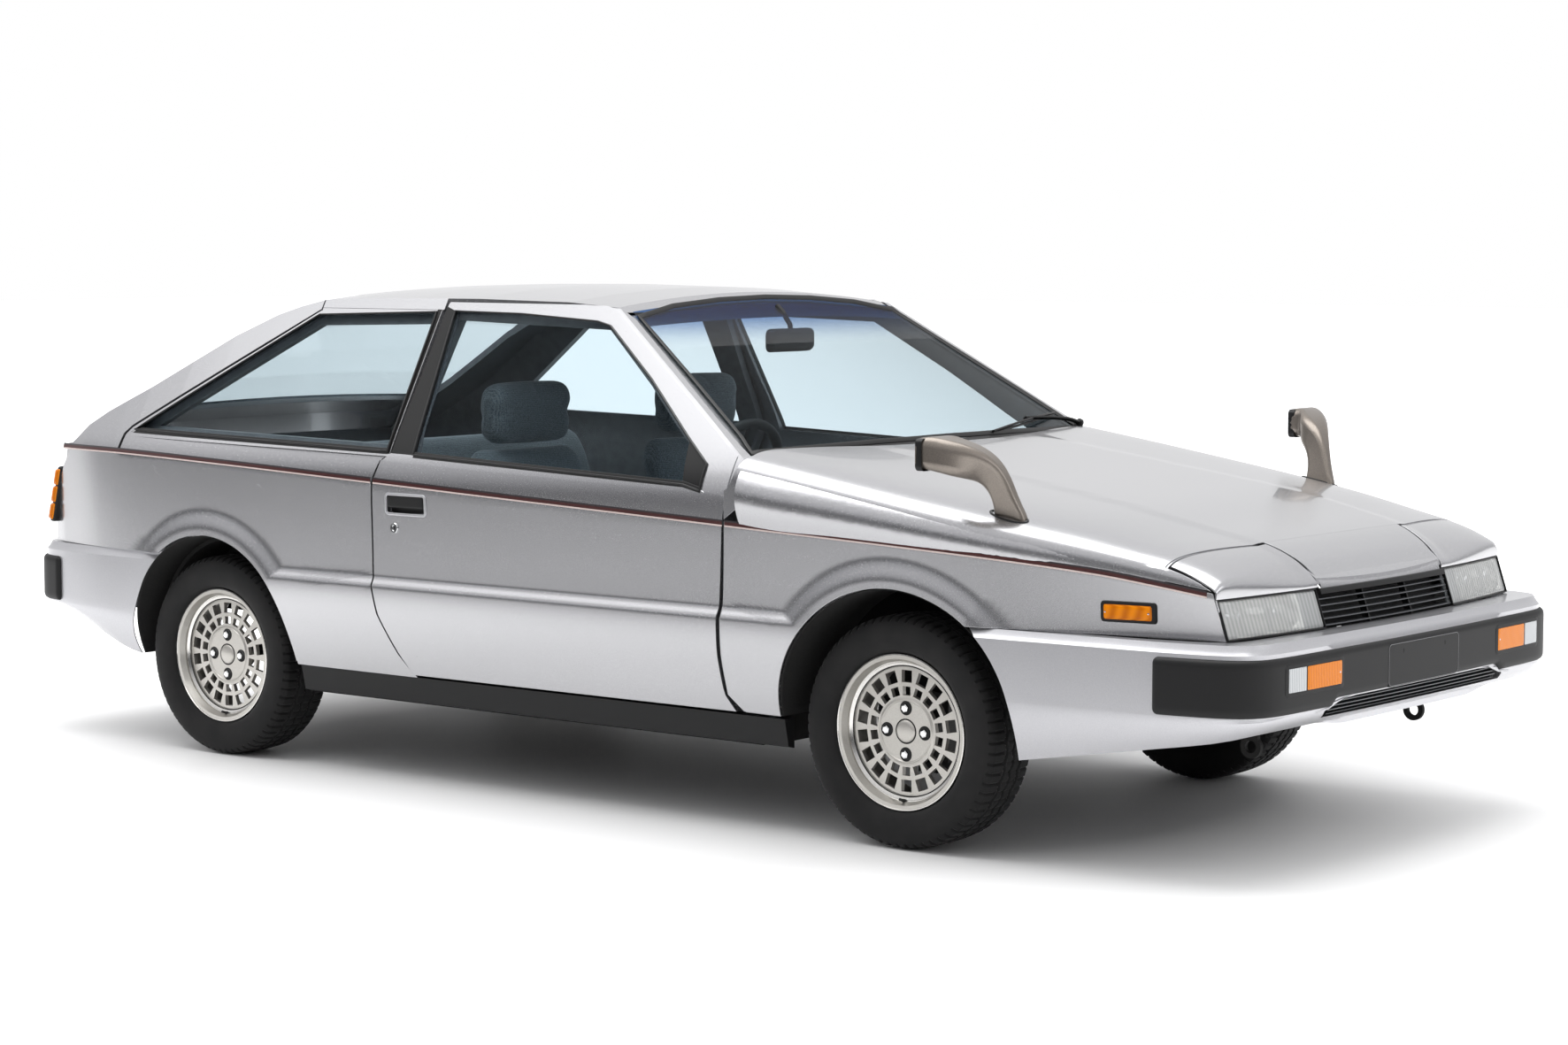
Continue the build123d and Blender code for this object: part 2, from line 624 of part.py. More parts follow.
# ---------------------------------------------------------------- wing mirrors on the bonnet
# each station: centre, the way the arm runs there, and the section's length and width
mirror_stations = [
    ((1449, 734, 800), (-0.20, 0.10, 1.0), 84, 28),
    ((1446, 735, 832), (-0.20, 0.12, 1.0), 80, 28),
    ((1437, 748, 880), (-0.35, 0.25, 1.0), 62, 34),
    ((1418, 768, 930), (-0.70, 0.35, 0.7), 66, 50),
    ((1388, 805, 960), (-1.00, 0.30, 0.2), 78, 90),
    ((1350, 850, 978), (-1.00, 0.00, 0.0), 82, 116),
    ((1306, 866, 980), (-1.00, 0.00, 0.0), 78, 120),
]
mirror_corner = 0.3           # corner radius of a section, as a share of its width

mirrors = []
for sign in (-1, 1):
    with BuildPart() as mirror:
        for (x, y, z), (dx, dy, dz), length, width in mirror_stations:
            run = Plane(origin=(x, sign * y, z), x_dir=(dz, 0, -dx), z_dir=(dx, sign * dy, dz))
            with BuildSketch(run):
                RectangleRounded(length, width, mirror_corner * min(length, width))
        loft()
    mirrors.append(mirror.part - front_outer)
save(Compound(children=[s for m in mirrors for s in m.solids()]), "wing_mirrors")

# ---------------------------------------------------------------- running gear
wheel_places = {
    "front_right": (front_axle_x, -1), "front_left": (front_axle_x, 1),
    "rear_right": (rear_axle_x, -1), "rear_left": (rear_axle_x, 1),
}
hub_face = 50.0               # the wheel's flat face, outboard of its centre
hub_back = -20.0
window_count = 18             # holes in each of the two rings
window_rings = ((135.0, (30.0, 31.0)), (99.0, (22.0, 23.0)))
for place, (x, sign) in wheel_places.items():
    wheel_plane = Plane(origin=(x, sign * track_half, tyre_radius), x_dir=(1, 0, 0),
                        z_dir=(0, sign, 0))

    def ring(profile):
        """Turn a section (radius, distance outboard) about the wheel's axle."""
        axle = Axis(wheel_plane.origin, wheel_plane.z_dir)
        with BuildPart() as turned:
            with BuildSketch(Plane(origin=wheel_plane.origin, x_dir=(1, 0, 0),
                                   z_dir=(0, 0, sign))):
                with BuildLine():
                    Polyline(*profile, close=True)
                make_face()
            revolve(axis=axle)
        return turned.part

    half = rim_width / 2
    barrel = ring([(rim_lip_radius, -half), (rim_lip_radius, -half + 5), (rim_radius, -half + 10),
                   (rim_radius, half - 10), (rim_lip_radius, half - 5), (rim_lip_radius, half),
                   (rim_radius, half), (rim_radius - 8, half - 16), (rim_radius - 8, -half + 16),
                   (rim_radius, -half)])
    disc = ring([(hub_bore_radius, hub_back), (44, hub_back), (52, hub_face - 14),
                 (rim_radius - 20, hub_face - 16), (rim_radius - 7, hub_face - 16),
                 (rim_radius - 7, hub_face - 4), (rim_radius - 22, hub_face - 3), (84, hub_face - 2),
                 (78, hub_face), (hub_bore_radius, hub_face)])
    rim = barrel + disc
    with BuildPart() as lug_holes:
        with BuildSketch(wheel_plane.offset(hub_back - 5)):
            with PolarLocations(wheel_bolt_circle / 2, 4, start_angle=0):
                Circle(wheel_bolt_bore / 2)
        extrude(amount=hub_face - hub_back + 10)
    with BuildPart() as windows:
        with BuildSketch(wheel_plane):
            for circle, (length, width) in window_rings:
                with PolarLocations(circle, window_count, start_angle=10):
                    Rectangle(length, width)
        extrude(amount=hub_face + 10)
    rim -= lug_holes.part + windows.part
    save(rim, f"rim_{place}")
    tyre = ring([(rim_radius + fit_gap, -half + 11), (rim_lip_radius + 4, -half + 4),
                 (222, -tyre_width / 2 + 2), (246, -tyre_width / 2), (270, -tyre_width / 2 + 6),
                 (283, -tyre_width / 2 + 18), (tyre_radius, -64), (tyre_radius, 64),
                 (283, tyre_width / 2 - 18), (270, tyre_width / 2 - 6), (246, tyre_width / 2),
                 (222, tyre_width / 2 - 2), (rim_lip_radius + 4, half - 4),
                 (rim_radius + fit_gap, half - 11)])
    save(tyre, f"tyre_{place}")

spindle_radius = hub_bore_radius - fit_gap
knuckle_y = 600.0
king_pin_y = 620.0
spindle_end = track_half + hub_face - 6
arm_top_z = 200.0
for sign, side in ((-1, "right"), (1, "left")):
    y0, y1 = sorted((sign * 560, sign * 612))
    knuckle = block(front_axle_x - 42, front_axle_x + 42, y0, y1, arm_top_z + fit_gap, 372)
    knuckle += rod((front_axle_x, sign * 600, tyre_radius), (0, sign, 0), 42, 58)
    knuckle += rod((front_axle_x, sign * 600, tyre_radius), (0, sign, 0), spindle_radius,
                   spindle_end - 600)
    y0, y1 = sorted((sign * 560, sign * 582))
    knuckle += block(front_axle_x - 140, front_axle_x - 30, y0, y1, 250, 272)
    save(knuckle, f"knuckle_{side}")

rail_y0, rail_y1, rail_z0, rail_z1 = 340.0, 410.0, 330.0, 420.0
cross = block(front_axle_x - 50, front_axle_x + 50, -rail_y1, rail_y1, 215, rail_z0)
for sign in (-1, 1):
    y0, y1 = sorted((sign * 300, sign * 640))
    cross += block(front_axle_x - 28, front_axle_x + 28, y0, y1, 176, arm_top_z)
    y0, y1 = sorted((sign * 300, sign * rail_y1))
    cross += block(front_axle_x - 50, front_axle_x + 50, y0, y1, 176, 220)
save(cross, "front_crossmember")

axle_radius, coil_y = 38.0, 470.0
boot_floor_z = 395.0
rear_axle = rod((rear_axle_x, -565, tyre_radius), (0, 1, 0), axle_radius, 1130)
rear_axle += rod((rear_axle_x, -spindle_end, tyre_radius), (0, 1, 0), spindle_radius, 2 * spindle_end)
rear_axle += rod((rear_axle_x, -85, tyre_radius), (0, 1, 0), 100, 170)
for sign in (-1, 1):
    rear_axle += rod((rear_axle_x, sign * coil_y, tyre_radius), (0, 0, 1), 45,
                     boot_floor_z - fit_gap - tyre_radius)
save(rear_axle, "rear_axle")

# ---------------------------------------------------------------- floor, bulkheads, rails
floor_z0, floor_z1 = 214.0, 231.7
floor_half = 742.0
heel_x = -945.0               # where the floor steps up to the boot
firewall_x0, firewall_x1 = 700.0, 715.0
tunnel_half, tunnel_top_z = 110.0, 330.0
panel_thickness = 15.0
boot_top_z = boot_floor_z + panel_thickness
wheelhouse_clearance = 32.5   # from the tyre's inner side to the wheelhouse
boot_half = track_half - tyre_width / 2 - wheelhouse_clearance
boot_rear_x = -2010.0
boot_wide_half = boot_half + 84   # behind the wheelhouses
boot_wide_x = rear_axle_x - 348
house_radius, house_wall = 334.0, 12.0
pan = block(heel_x, firewall_x0, -floor_half, floor_half, floor_z0, floor_z1)
pan += block(heel_x - panel_thickness, heel_x, -boot_half, boot_half, floor_z0, boot_top_z)
pan += block(boot_rear_x, heel_x, -boot_half, boot_half, boot_floor_z, boot_top_z)
pan += block(boot_rear_x, boot_wide_x, -boot_wide_half, boot_wide_half, boot_floor_z, boot_top_z)
pan += block(heel_x, firewall_x0, -tunnel_half, tunnel_half, floor_z0, tunnel_top_z)
for sign in (-1, 1):
    # wheelhouse over each rear wheel
    house_start = (rear_arch[0], sign * boot_half, rear_arch[1])
    house = rod(house_start, (0, sign, 0), house_radius, 150)
    house -= rod((rear_arch[0], sign * (boot_half + house_wall), rear_arch[1]), (0, sign, 0),
                 house_radius - house_wall, 160)
    house -= block(-1800, -800, -900, 900, -100, boot_floor_z)
    pan += house
cabin_side = block(-2100, firewall_x0 - 1, -900, 900, floor_z1 + fit_gap, 1400)
pan -= frame_outer & cabin_side - (frame_inner & block(-2100, firewall_x0 - 1, -900, 900, 200, 1400))
save(pan, "floor_pan")

tower_top_z = 740.0
cowl_half = 700.0
bay = block(firewall_x0, firewall_x1, -690, 690, floor_z0, 934) & front_clear
cowl = block(640, 800, -cowl_half, cowl_half, 880, 934) & front_hull((598,) + front_stations[1:-1] + (2102,),
                                                         skin + 8, 200)
bay += cowl
for sign in (-1, 1):
    y0, y1 = sorted((sign * rail_y0, sign * rail_y1))
    bay += block(firewall_x0, panel_x1, y0, y1, rail_z0, rail_z1)
    bay += block(front_axle_x - 75, front_axle_x + 75, y0, y1, rail_z1 - 5, tower_top_z)
    bay += rod((front_axle_x, sign * 375, tower_top_z - 5), (0, 0, 1), 9, 260) & front_clear
    # tow eye under each rail
    y0, y1 = sorted((sign * 398, sign * rail_y1))
    eye = rod((1915, y0, 285), (0, 1, 0), 28, y1 - y0) + block(1895, 1935, y0, y1, 300, 335)
    bay += eye - rod((1915, y0 - 5, 285), (0, 1, 0), 15, 30)
front_panel = block(panel_x0, panel_x1, -640, 640, 320, 640)
front_panel -= block(1900, 2000, -280, 280, 430, 610)
bay += front_panel
for sign in (-1, 1):
    y0, y1 = sorted((sign * 480, sign * 560))
    bay += block(1885, panel_x1, y0, y1, 610, 760) & front_clear
save(bay, "engine_bay")

sills = []
with BuildPart() as sill:
    for sign in (-1, 1):
        with BuildSketch(Plane.YZ.offset(-940)):
            with BuildLine():
                Polyline((sign * 742.3, 216), (sign * 766, 222), (sign * 781, 292),
                         (sign * 742.3, 292), close=True)
            make_face()
        extrude(amount=1740)
save(sill.part - frame_outer, "sill_covers")

engine = block(880, 1500, -210, 210, 345, 790)
save(engine + block(1100, 1180, -150, 150, rail_z0 + fit_gap, 350), "engine_block")

pipe_y, pipe_radius = 250.0, 22.0
pipe_z = floor_z0 - fit_gap - pipe_radius
silencer_x1 = rear_axle_x - 258
silencer_x0 = silencer_x1 - 400
silencer_top_z = 320.0
pipe_front_x, tail_pipe_x = 920.0, -2120.0
exhaust = rod((silencer_x1, pipe_y, pipe_z), (1, 0, 0), pipe_radius, pipe_front_x - silencer_x1)
exhaust += block(silencer_x0, silencer_x1, 130, 420, 180, silencer_top_z)
exhaust += block(silencer_x0 + 180, silencer_x0 + 220, 250, 290, silencer_top_z, boot_floor_z - fit_gap)
exhaust += rod((tail_pipe_x, 380, 235), (1, 0, 0), 20, silencer_x0 + 10 - tail_pipe_x)
save(exhaust, "exhaust")

# ---------------------------------------------------------------- cabin fittings
seat_y = 370.0
with BuildPart() as dash:
    with BuildSketch(Plane.XZ.offset(-690)):
        with BuildLine():
            Polyline((699.7, 560), (470, 540), (400, 600), (385, 760), (420, 850), (640, 879),
                     (699.7, 879), close=True)
        make_face()
    extrude(amount=1380)
    add(block(-150, 420, -95, 95, 330.3, 480))
    add(block(300, 480, -95, 95, 470, 600))
column_tilt = math.radians(24)
wheel_centre = (285.0, -seat_y, 830.0)
column_dir = (-math.cos(column_tilt), 0, math.sin(column_tilt))
hub_depth = 34.0


def on_column(distance):
    return tuple(c - d * distance for c, d in zip(wheel_centre, column_dir))


column = rod(on_column(hub_depth + fit_gap), tuple(-c for c in column_dir), 34, 180)
dashboard = (dash.part & frame_inner) + column
save(dashboard, "dashboard")

with BuildPart() as steering:
    hub_plane = Plane(origin=wheel_centre, x_dir=(0, 1, 0), z_dir=column_dir)
    with BuildSketch(Plane(origin=tuple(Vector(*wheel_centre) + Vector(0, 183, 0)),
                           x_dir=(0, 1, 0), z_dir=hub_plane.y_dir)):
        Circle(14)
    revolve(axis=Axis(wheel_centre, column_dir))
    with BuildSketch(hub_plane.offset(-hub_depth)):
        Circle(45)
    extrude(amount=hub_depth)
    for turn in (-8, 188, 270):
        with BuildSketch(hub_plane.offset(-14)):
            with PolarLocations(105, 1, start_angle=turn):
                Rectangle(150, 32)
        extrude(amount=12)
save(steering.part, "steering_wheel")


def seat(y):
    """Front seat: cushion, reclined back and headrest, closed solids joined."""
    with BuildPart() as chair:
        with BuildSketch(Plane.XZ.offset(-y - 245)):
            with BuildLine():
                Polyline((130, 330), (150, 430), (60, 455), (-300, 410), (-440, 900), (-470, 925),
                         (-530, 915), (-420, 380), (-400, 260), (100, 260), close=True)
            make_face()
        extrude(amount=490)
        with BuildSketch(Plane.XZ.offset(-y - 150)):
            with BuildLine():
                Polyline((-432, 915), (-400, 1075), (-440, 1090), (-510, 1075), (-520, 915),
                         close=True)
            make_face()
        extrude(amount=300)
        add(block(-380, 80, y - 180, y + 180, floor_z1 + fit_gap, 262))
    return chair.part


save(Compound(children=[seat(-seat_y), seat(seat_y)]), "front_seats")
with BuildPart() as bench:
    with BuildSketch(Plane.XZ.offset(-620)):
        with BuildLine():
            Polyline((-944, floor_z1 + 0.3), (-560, floor_z1 + 0.3), (-540, 440), (-600, 480),
                     (-900, 440), (-1130, 870), (-1190, 870), (-1190, 800), (-1040, 411),
                     (-944, 411), close=True)
        make_face()
    extrude(amount=1240)
rear_seat = bench.part
for sign in (-1, 1):
    rear_seat -= rod((rear_arch[0], sign * 555, rear_arch[1]), (0, sign, 0), 336, 200)
rear_seat -= block(-960.3, -540, -110.3, 110.3, 200, 330.3)
rear_seat -= block(-960.3, -930, -900, 900, 200, boot_floor_z + 15.3)
save(rear_seat & frame_inner, "rear_seat")
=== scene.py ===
import json
import math

import bmesh
import bpy
import numpy as np
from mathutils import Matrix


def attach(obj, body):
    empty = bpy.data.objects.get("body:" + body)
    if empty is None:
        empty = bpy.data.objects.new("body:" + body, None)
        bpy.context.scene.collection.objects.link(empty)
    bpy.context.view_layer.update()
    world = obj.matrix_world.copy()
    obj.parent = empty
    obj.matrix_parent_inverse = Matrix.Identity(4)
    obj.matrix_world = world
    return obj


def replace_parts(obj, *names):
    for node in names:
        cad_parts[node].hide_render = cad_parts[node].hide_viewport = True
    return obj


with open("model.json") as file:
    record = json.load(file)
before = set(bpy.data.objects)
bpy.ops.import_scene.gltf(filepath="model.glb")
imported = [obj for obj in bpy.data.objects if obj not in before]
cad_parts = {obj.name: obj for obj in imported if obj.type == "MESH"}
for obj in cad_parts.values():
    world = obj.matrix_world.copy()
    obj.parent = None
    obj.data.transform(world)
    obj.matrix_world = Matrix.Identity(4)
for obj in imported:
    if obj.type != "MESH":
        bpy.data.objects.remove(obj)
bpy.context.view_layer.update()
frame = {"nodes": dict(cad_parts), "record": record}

MM = 0.001

# ---- Finishes ---------------------------------------------------------------------------------


def tone(code):
    """Linear RGBA of an sRGB hex colour, by the sRGB transfer curve on each channel."""
    parts = [int(code[i:i + 2], 16) / 255 for i in (1, 3, 5)]
    return [c / 12.92 if c <= 0.04045 else ((c + 0.055) / 1.055) ** 2.4 for c in parts] + [1.0]


def wire(node, inputs):
    """Fills a node's inputs, by name or number: each takes a plain value or a link from another socket."""
    for key, given in inputs.items():
        if isinstance(given, bpy.types.NodeSocket):
            node.id_data.links.new(given, node.inputs[key])
        else:
            node.inputs[key].default_value = given
    return node


def add(tree, kind, inputs=(), stops=(), **settings):
    """One new shader node: its settings by name, its inputs as wire fills them, and for a ramp its stops as
    (position, colour) from first to last."""
    made = tree.nodes.new(kind)
    for key, value in settings.items():
        setattr(made, key, value)
    for count, (position, code) in enumerate(stops):
        ramp = made.color_ramp.elements
        stop = ramp[0] if not count else ramp[-1] if count == len(stops) - 1 else ramp.new(position)
        stop.position, stop.color = position, tone(code)
    return wire(made, dict(inputs))


def finish_of(name, roughness, metallic=0.0, **sockets):
    """A new material, its tree and its Principled shader with plain values on the shader's own sockets."""
    made = bpy.data.materials.new(name)
    made.use_nodes = True
    shader = made.node_tree.nodes["Principled BSDF"]
    wire(shader, {"Roughness": roughness, "Metallic": metallic})
    wire(shader, {key.replace("_", " "): value for key, value in sockets.items()})
    return made, made.node_tree, shader


def mottle(name, dark, light, size_mm, roughness, bump_mm=0.0, metallic=0.0, spread_by=0.06, **sockets):
    """A finish whose colour wanders between two tones, roughness with it, over a noise of the given size,
    and whose surface rises and falls by the bump height over the same noise."""
    made, tree, shader = finish_of(name, roughness, metallic, **sockets)
    place = add(tree, "ShaderNodeTexCoord").outputs["Object"]
    noise = add(tree, "ShaderNodeTexNoise",
                {"Vector": place, "Scale": 1 / (size_mm * MM), "Detail": 4.0}).outputs["Fac"]
    ramp = add(tree, "ShaderNodeValToRGB", {"Fac": noise}, stops=((0.3, dark), (0.7, light)))
    spread = add(tree, "ShaderNodeMapRange", {"Value": noise, "To Min": max(roughness - spread_by, 0.02),
                                              "To Max": min(roughness + spread_by, 1.0)})
    wire(shader, {"Base Color": ramp.outputs["Color"], "Roughness": spread.outputs["Result"]})
    if bump_mm:
        bump = add(tree, "ShaderNodeBump", {"Strength": 1.0, "Distance": bump_mm * MM, "Height": noise})
        wire(shader, {"Normal": bump.outputs["Normal"]})
    return made


# Silver metallic paint, sprayed base coat under clear lacquer: flakes lift the tone when lit squarely,
# the lacquer adds a sharp second reflection. The flake is drawn coarser than the real 0.05 mm.
silver = mottle("silver_metallic_paint", "#b4b4b7", "#bcbcbe", 2.5, 0.27, metallic=0.92, spread_by=0.012,
                Coat_Weight=0.7, Coat_Roughness=0.07, Coat_IOR=1.45)
# The bumper cover is the same paint on plastic, a little bluer and softer in its shine.
bumper_silver = mottle("silver_paint_on_plastic", "#b9b9bd", "#c1c1c4", 3.0, 0.34, metallic=0.8,
                       spread_by=0.012, Coat_Weight=0.6, Coat_Roughness=0.1, Coat_IOR=1.45)
# Coach stripes: screen-printed vinyl tape, flat colour with the faintest orange peel.
maroon = mottle("maroon_vinyl_stripe", "#3d1a19", "#48201e", 6.0, 0.32, Coat_Weight=0.5)
# The pale line lies along the crease: a pale pinstripe, and in part a painted highlight of the light along the
# crease.
pale_stripe_and_crease_highlight = mottle("pale_stripe_and_painted_crease_highlight", "#cdbab4", "#d8c8c3", 6.0, 0.32, Coat_Weight=0.5)
dark_line = mottle("dark_vinyl_stripe", "#2a2528", "#332d30", 6.0, 0.32, Coat_Weight=0.5)
# Moulded black polypropylene, fine-grained: bumper pads, plate recess, sill covers.
black_plastic = mottle("grained_black_plastic", "#0d0d0e", "#141415", 1.2, 0.52, bump_mm=0.03,
                       Specular_IOR_Level=0.32)
# Extruded black rubber: window mouldings and gaskets, smooth with a dull satin shine.
black_rubber = mottle("extruded_black_rubber", "#0d0d0e", "#141415", 4.0, 0.42, bump_mm=0.02)
# Satin black baked enamel: door pillars, grille, wiper arms.
satin_black = mottle("satin_black_enamel", "#070708", "#0d0d0e", 5.0, 0.42, Specular_IOR_Level=0.35)
# Bituminous underseal: sprayed floor and wheel arches, lumpy and dull.
underseal = mottle("sprayed_black_underseal", "#0e0e0f", "#1a1918", 9.0, 0.85, bump_mm=0.5)
# Painted inner shell, the body colour without lacquer and dusty.
inner_silver = mottle("inner_shell_grey_paint", "#6d6f72", "#7b7d80", 25.0, 0.55, bump_mm=0.02)
# Warm grey anodised die-casting of the wing mirrors: soft bronze sheen.
mirror_bronze = mottle("warm_grey_satin_anodising", "#7d766f", "#8a827a", 3.0, 0.36, bump_mm=0.01,
                       metallic=0.85, Coat_Weight=0.2)
# Cabin mouldings in grey vinyl with a leather grain; their light grey-teal tone is in part a painted reflection
# on the dashboard.
cabin_vinyl_and_reflection = mottle("grained_grey_vinyl_painted_teal_reflection", "#5f6c73", "#6b787f", 1.8, 0.5, bump_mm=0.06)
# Cast iron and steel, oily grey, of the engine block and axles.
cast_iron = mottle("oily_cast_iron", "#2b2b2c", "#3b3a39", 7.0, 0.5, bump_mm=0.25, metallic=0.6)
# Aluminised exhaust steel, heat-stained.
exhaust_steel = mottle("heat_stained_exhaust_steel", "#4c4742", "#6a655f", 14.0, 0.45, metallic=0.85)
# Machined and clear-lacquered alloy of the wheels: pale, fine, softly bright.
alloy = mottle("lacquered_cast_alloy", "#bdbab4", "#cbc8c2", 2.0, 0.34, bump_mm=0.015,
               metallic=0.8, Coat_Weight=0.35, Coat_Roughness=0.1)
# Turned and polished lip of the wheel: nearly a mirror, with turning marks too fine to see.
polished_lip = mottle("polished_alloy_lip", "#d8d6d2", "#e2e0dc", 5.0, 0.16, metallic=1.0)
# Bright chrome plate of the locks, the wheel nuts, the lamp bulbs and the small screws.
chrome = mottle("bright_chrome_plate", "#d9dadb", "#e4e5e6", 30.0, 0.08, metallic=1.0)


def tyre_rubber():
    """Carbon-black tyre rubber: dark, slightly brown, dusty in patches, with fine mould lines round it."""
    made, tree, shader = finish_of("carbon_black_tyre_rubber", 0.72, Sheen_Weight=0.05,
                                   Specular_IOR_Level=0.3)
    place = add(tree, "ShaderNodeTexCoord").outputs["Object"]
    dust, grain = (add(tree, "ShaderNodeTexNoise", {"Vector": place, "Scale": scale, "Detail": detail})
                   for scale, detail in ((14.0, 6.0), (420.0, 2.0)))
    ramp = add(tree, "ShaderNodeValToRGB", {"Fac": dust.outputs["Fac"]},
               stops=((0.35, "#0f0f10"), (0.75, "#1b1a1a")))
    bump = add(tree, "ShaderNodeBump",
               {"Strength": 0.5, "Distance": 0.2 * MM, "Height": grain.outputs["Fac"]})
    wire(shader, {"Base Color": ramp.outputs["Color"], "Normal": bump.outputs["Normal"]})
    return made


def pane(name, code, through):
    """Clear glass or plastic in a thin wall: a tinted transparent layer under a glossy face, mixed by how
    far the surface turns away, to the fifth power, so that it mirrors more when seen along its surface."""
    made, tree, shader = finish_of(name, 0.0, Specular_IOR_Level=0.5)
    clear = add(tree, "ShaderNodeBsdfTransparent", {"Color": tone(code)})
    edge = add(tree, "ShaderNodeLayerWeight", {"Blend": 0.5})
    gloss = add(tree, "ShaderNodeMath", {0: edge.outputs["Facing"], 1: 5.0}, operation="POWER")
    place = add(tree, "ShaderNodeTexCoord")
    film = add(tree, "ShaderNodeTexNoise", {"Vector": place.outputs["Object"], "Scale": 3.0, "Detail": 3.0})
    haze = add(tree, "ShaderNodeMapRange", {"Value": film.outputs["Fac"], "To Min": 0.0, "To Max": 0.03})
    blend = add(tree, "ShaderNodeMapRange",
                {"Value": gloss.outputs["Value"], "To Min": 1.0 - through, "To Max": 1.0})
    wire(shader, {"Base Color": tone("#0b0e10"), "Roughness": haze.outputs["Result"]})
    mixed = add(tree, "ShaderNodeMixShader",
                {"Fac": blend.outputs["Result"], 1: clear.outputs["BSDF"], 2: shader.outputs["BSDF"]})
    wire(tree.nodes["Material Output"], {"Surface": mixed.outputs["Shader"]})
    return made


def band_scale(pitch_mm):
    """Scale of a band texture whose stripes repeat every pitch_mm."""
    return 1000.0 / pitch_mm / 6.283


def moulded_lens(name, code, deep, pitch_mm):
    """Moulded acrylic lens: saturated clear plastic with fine upright flutes that break up what is behind."""
    made, tree, shader = finish_of(name, 0.16, Transmission_Weight=0.05, IOR=1.49, Specular_IOR_Level=0.12,
                                   Coat_Weight=0.06, Coat_Roughness=0.05)
    place = add(tree, "ShaderNodeTexCoord")
    flutes = add(tree, "ShaderNodeTexWave",
                 {"Vector": place.outputs["Object"], "Scale": band_scale(pitch_mm), "Distortion": 0.0},
                 wave_type="BANDS", bands_direction="Y").outputs["Fac"]
    ramp = add(tree, "ShaderNodeValToRGB", {"Fac": flutes}, stops=((0.0, deep), (1.0, code)))
    bump = add(tree, "ShaderNodeBump", {"Strength": 0.5, "Distance": 0.6 * MM, "Height": flutes})
    wire(shader, {"Base Color": ramp.outputs["Color"], "Normal": bump.outputs["Normal"]})
    return made


def woven_cloth(name, dark, light, thread_mm):
    """Flat woven wool-blend seat cloth: crossed threads out of two wave patterns, flecked by a noise."""
    made, tree, shader = finish_of(name, 0.92, Sheen_Weight=0.35, Sheen_Roughness=0.5)
    place = add(tree, "ShaderNodeTexCoord").outputs["Object"]
    warp, weft = (add(tree, "ShaderNodeTexWave", {"Vector": place, "Scale": band_scale(thread_mm)},
                      wave_type="BANDS", bands_direction=way).outputs["Fac"] for way in "YZ")
    fleck = add(tree, "ShaderNodeTexNoise", {"Vector": place, "Scale": 260.0, "Detail": 3.0})
    cross = add(tree, "ShaderNodeMath", {0: warp, 1: weft}, operation="MULTIPLY")
    mixed = add(tree, "ShaderNodeMath", {0: cross.outputs["Value"], 1: 0.35, 2: fleck.outputs["Fac"]},
                operation="MULTIPLY_ADD").outputs["Value"]
    ramp = add(tree, "ShaderNodeValToRGB", {"Fac": mixed}, stops=((0.35, dark), (0.85, light)))
    bump = add(tree, "ShaderNodeBump", {"Strength": 0.6, "Distance": 0.6 * MM, "Height": mixed})
    wire(shader, {"Base Color": ramp.outputs["Color"], "Normal": bump.outputs["Normal"]})
    return made


def shade_glass():
    """The windscreen's blue shade band: clear at its lower edge and bluer with height, with a faint shine."""
    made, tree, shader = finish_of("blue_shade_band_glass", 0.04)
    place = add(tree, "ShaderNodeTexCoord")
    split = add(tree, "ShaderNodeSeparateXYZ", {"Vector": place.outputs["Object"]})
    rise = add(tree, "ShaderNodeMapRange", {"Value": split.outputs["Z"], "From Min": 1.2, "From Max": 1.3},
               interpolation_type="SMOOTHSTEP")
    ramp = add(tree, "ShaderNodeValToRGB", {"Fac": rise.outputs["Result"]},
               stops=((0.0, "#fcfdfe"), (1.0, "#3d74b4")))
    clear = add(tree, "ShaderNodeBsdfTransparent", {"Color": ramp.outputs["Color"]})
    mixed = add(tree, "ShaderNodeMixShader",
                {"Fac": 0.04, 1: clear.outputs["BSDF"], 2: shader.outputs["BSDF"]})
    wire(tree.nodes["Material Output"], {"Surface": mixed.outputs["Shader"]})
    return made


tyre_black = tyre_rubber()
# Thin tempered glass: nearly clear, a cold tint, and mirror-like where it turns away.
window_glass = pane("pale_tinted_safety_glass", "#f1f6f8", through=0.96)
# Pressed glass of the lamps: clear and a little grey.
lamp_glass = pane("clear_pressed_lamp_glass", "#eef2f4", through=0.86)
shade_band = shade_glass()
# Silvered glass of the three mirrors: a clean dark-edged reflection.
mirror_glass = mottle("silvered_mirror_glass", "#c9ced2", "#d3d8dc", 40.0, 0.03, metallic=1.0)
# Dyed acrylic lenses: amber and red glow from within their flutes, clear looks milky grey.
amber = moulded_lens("amber_acrylic_lens", "#ec8a0c", "#c96a06", 3.0)
clear_lens = moulded_lens("clear_fluted_acrylic", "#d9dbdc", "#a4a8ab", 3.0)
red_lens = moulded_lens("red_acrylic_lens", "#9c1016", "#5c060a", 4.0)
# Seat cloth, soft and flecked without shine; its threads are drawn coarser than real ones so that they show.
seat_cloth = woven_cloth("blue_grey_woven_cloth", "#565f65", "#949ca1", 2.2)

slot_of = {part["node"]: part["material_slot"] for part in frame["record"]["subparts"]}
# What finish each of the record's slots takes on the car's own nodes.
NODE_FINISH = {
    "silver_paint": silver, "silver_bumper": bumper_silver, "underbody": underseal,
    "inner_frame": inner_silver, "glass": window_glass, "black_rubber": black_rubber,
    "black_plastic": black_plastic, "lamp_glass": lamp_glass, "amber_lens": amber,
    "mirror_shell": mirror_bronze, "dash_plastic": cabin_vinyl_and_reflection, "seat_cloth": seat_cloth,
    "engine_iron": cast_iron, "exhaust_steel": exhaust_steel, "alloy": alloy, "tyre": tyre_black,
}
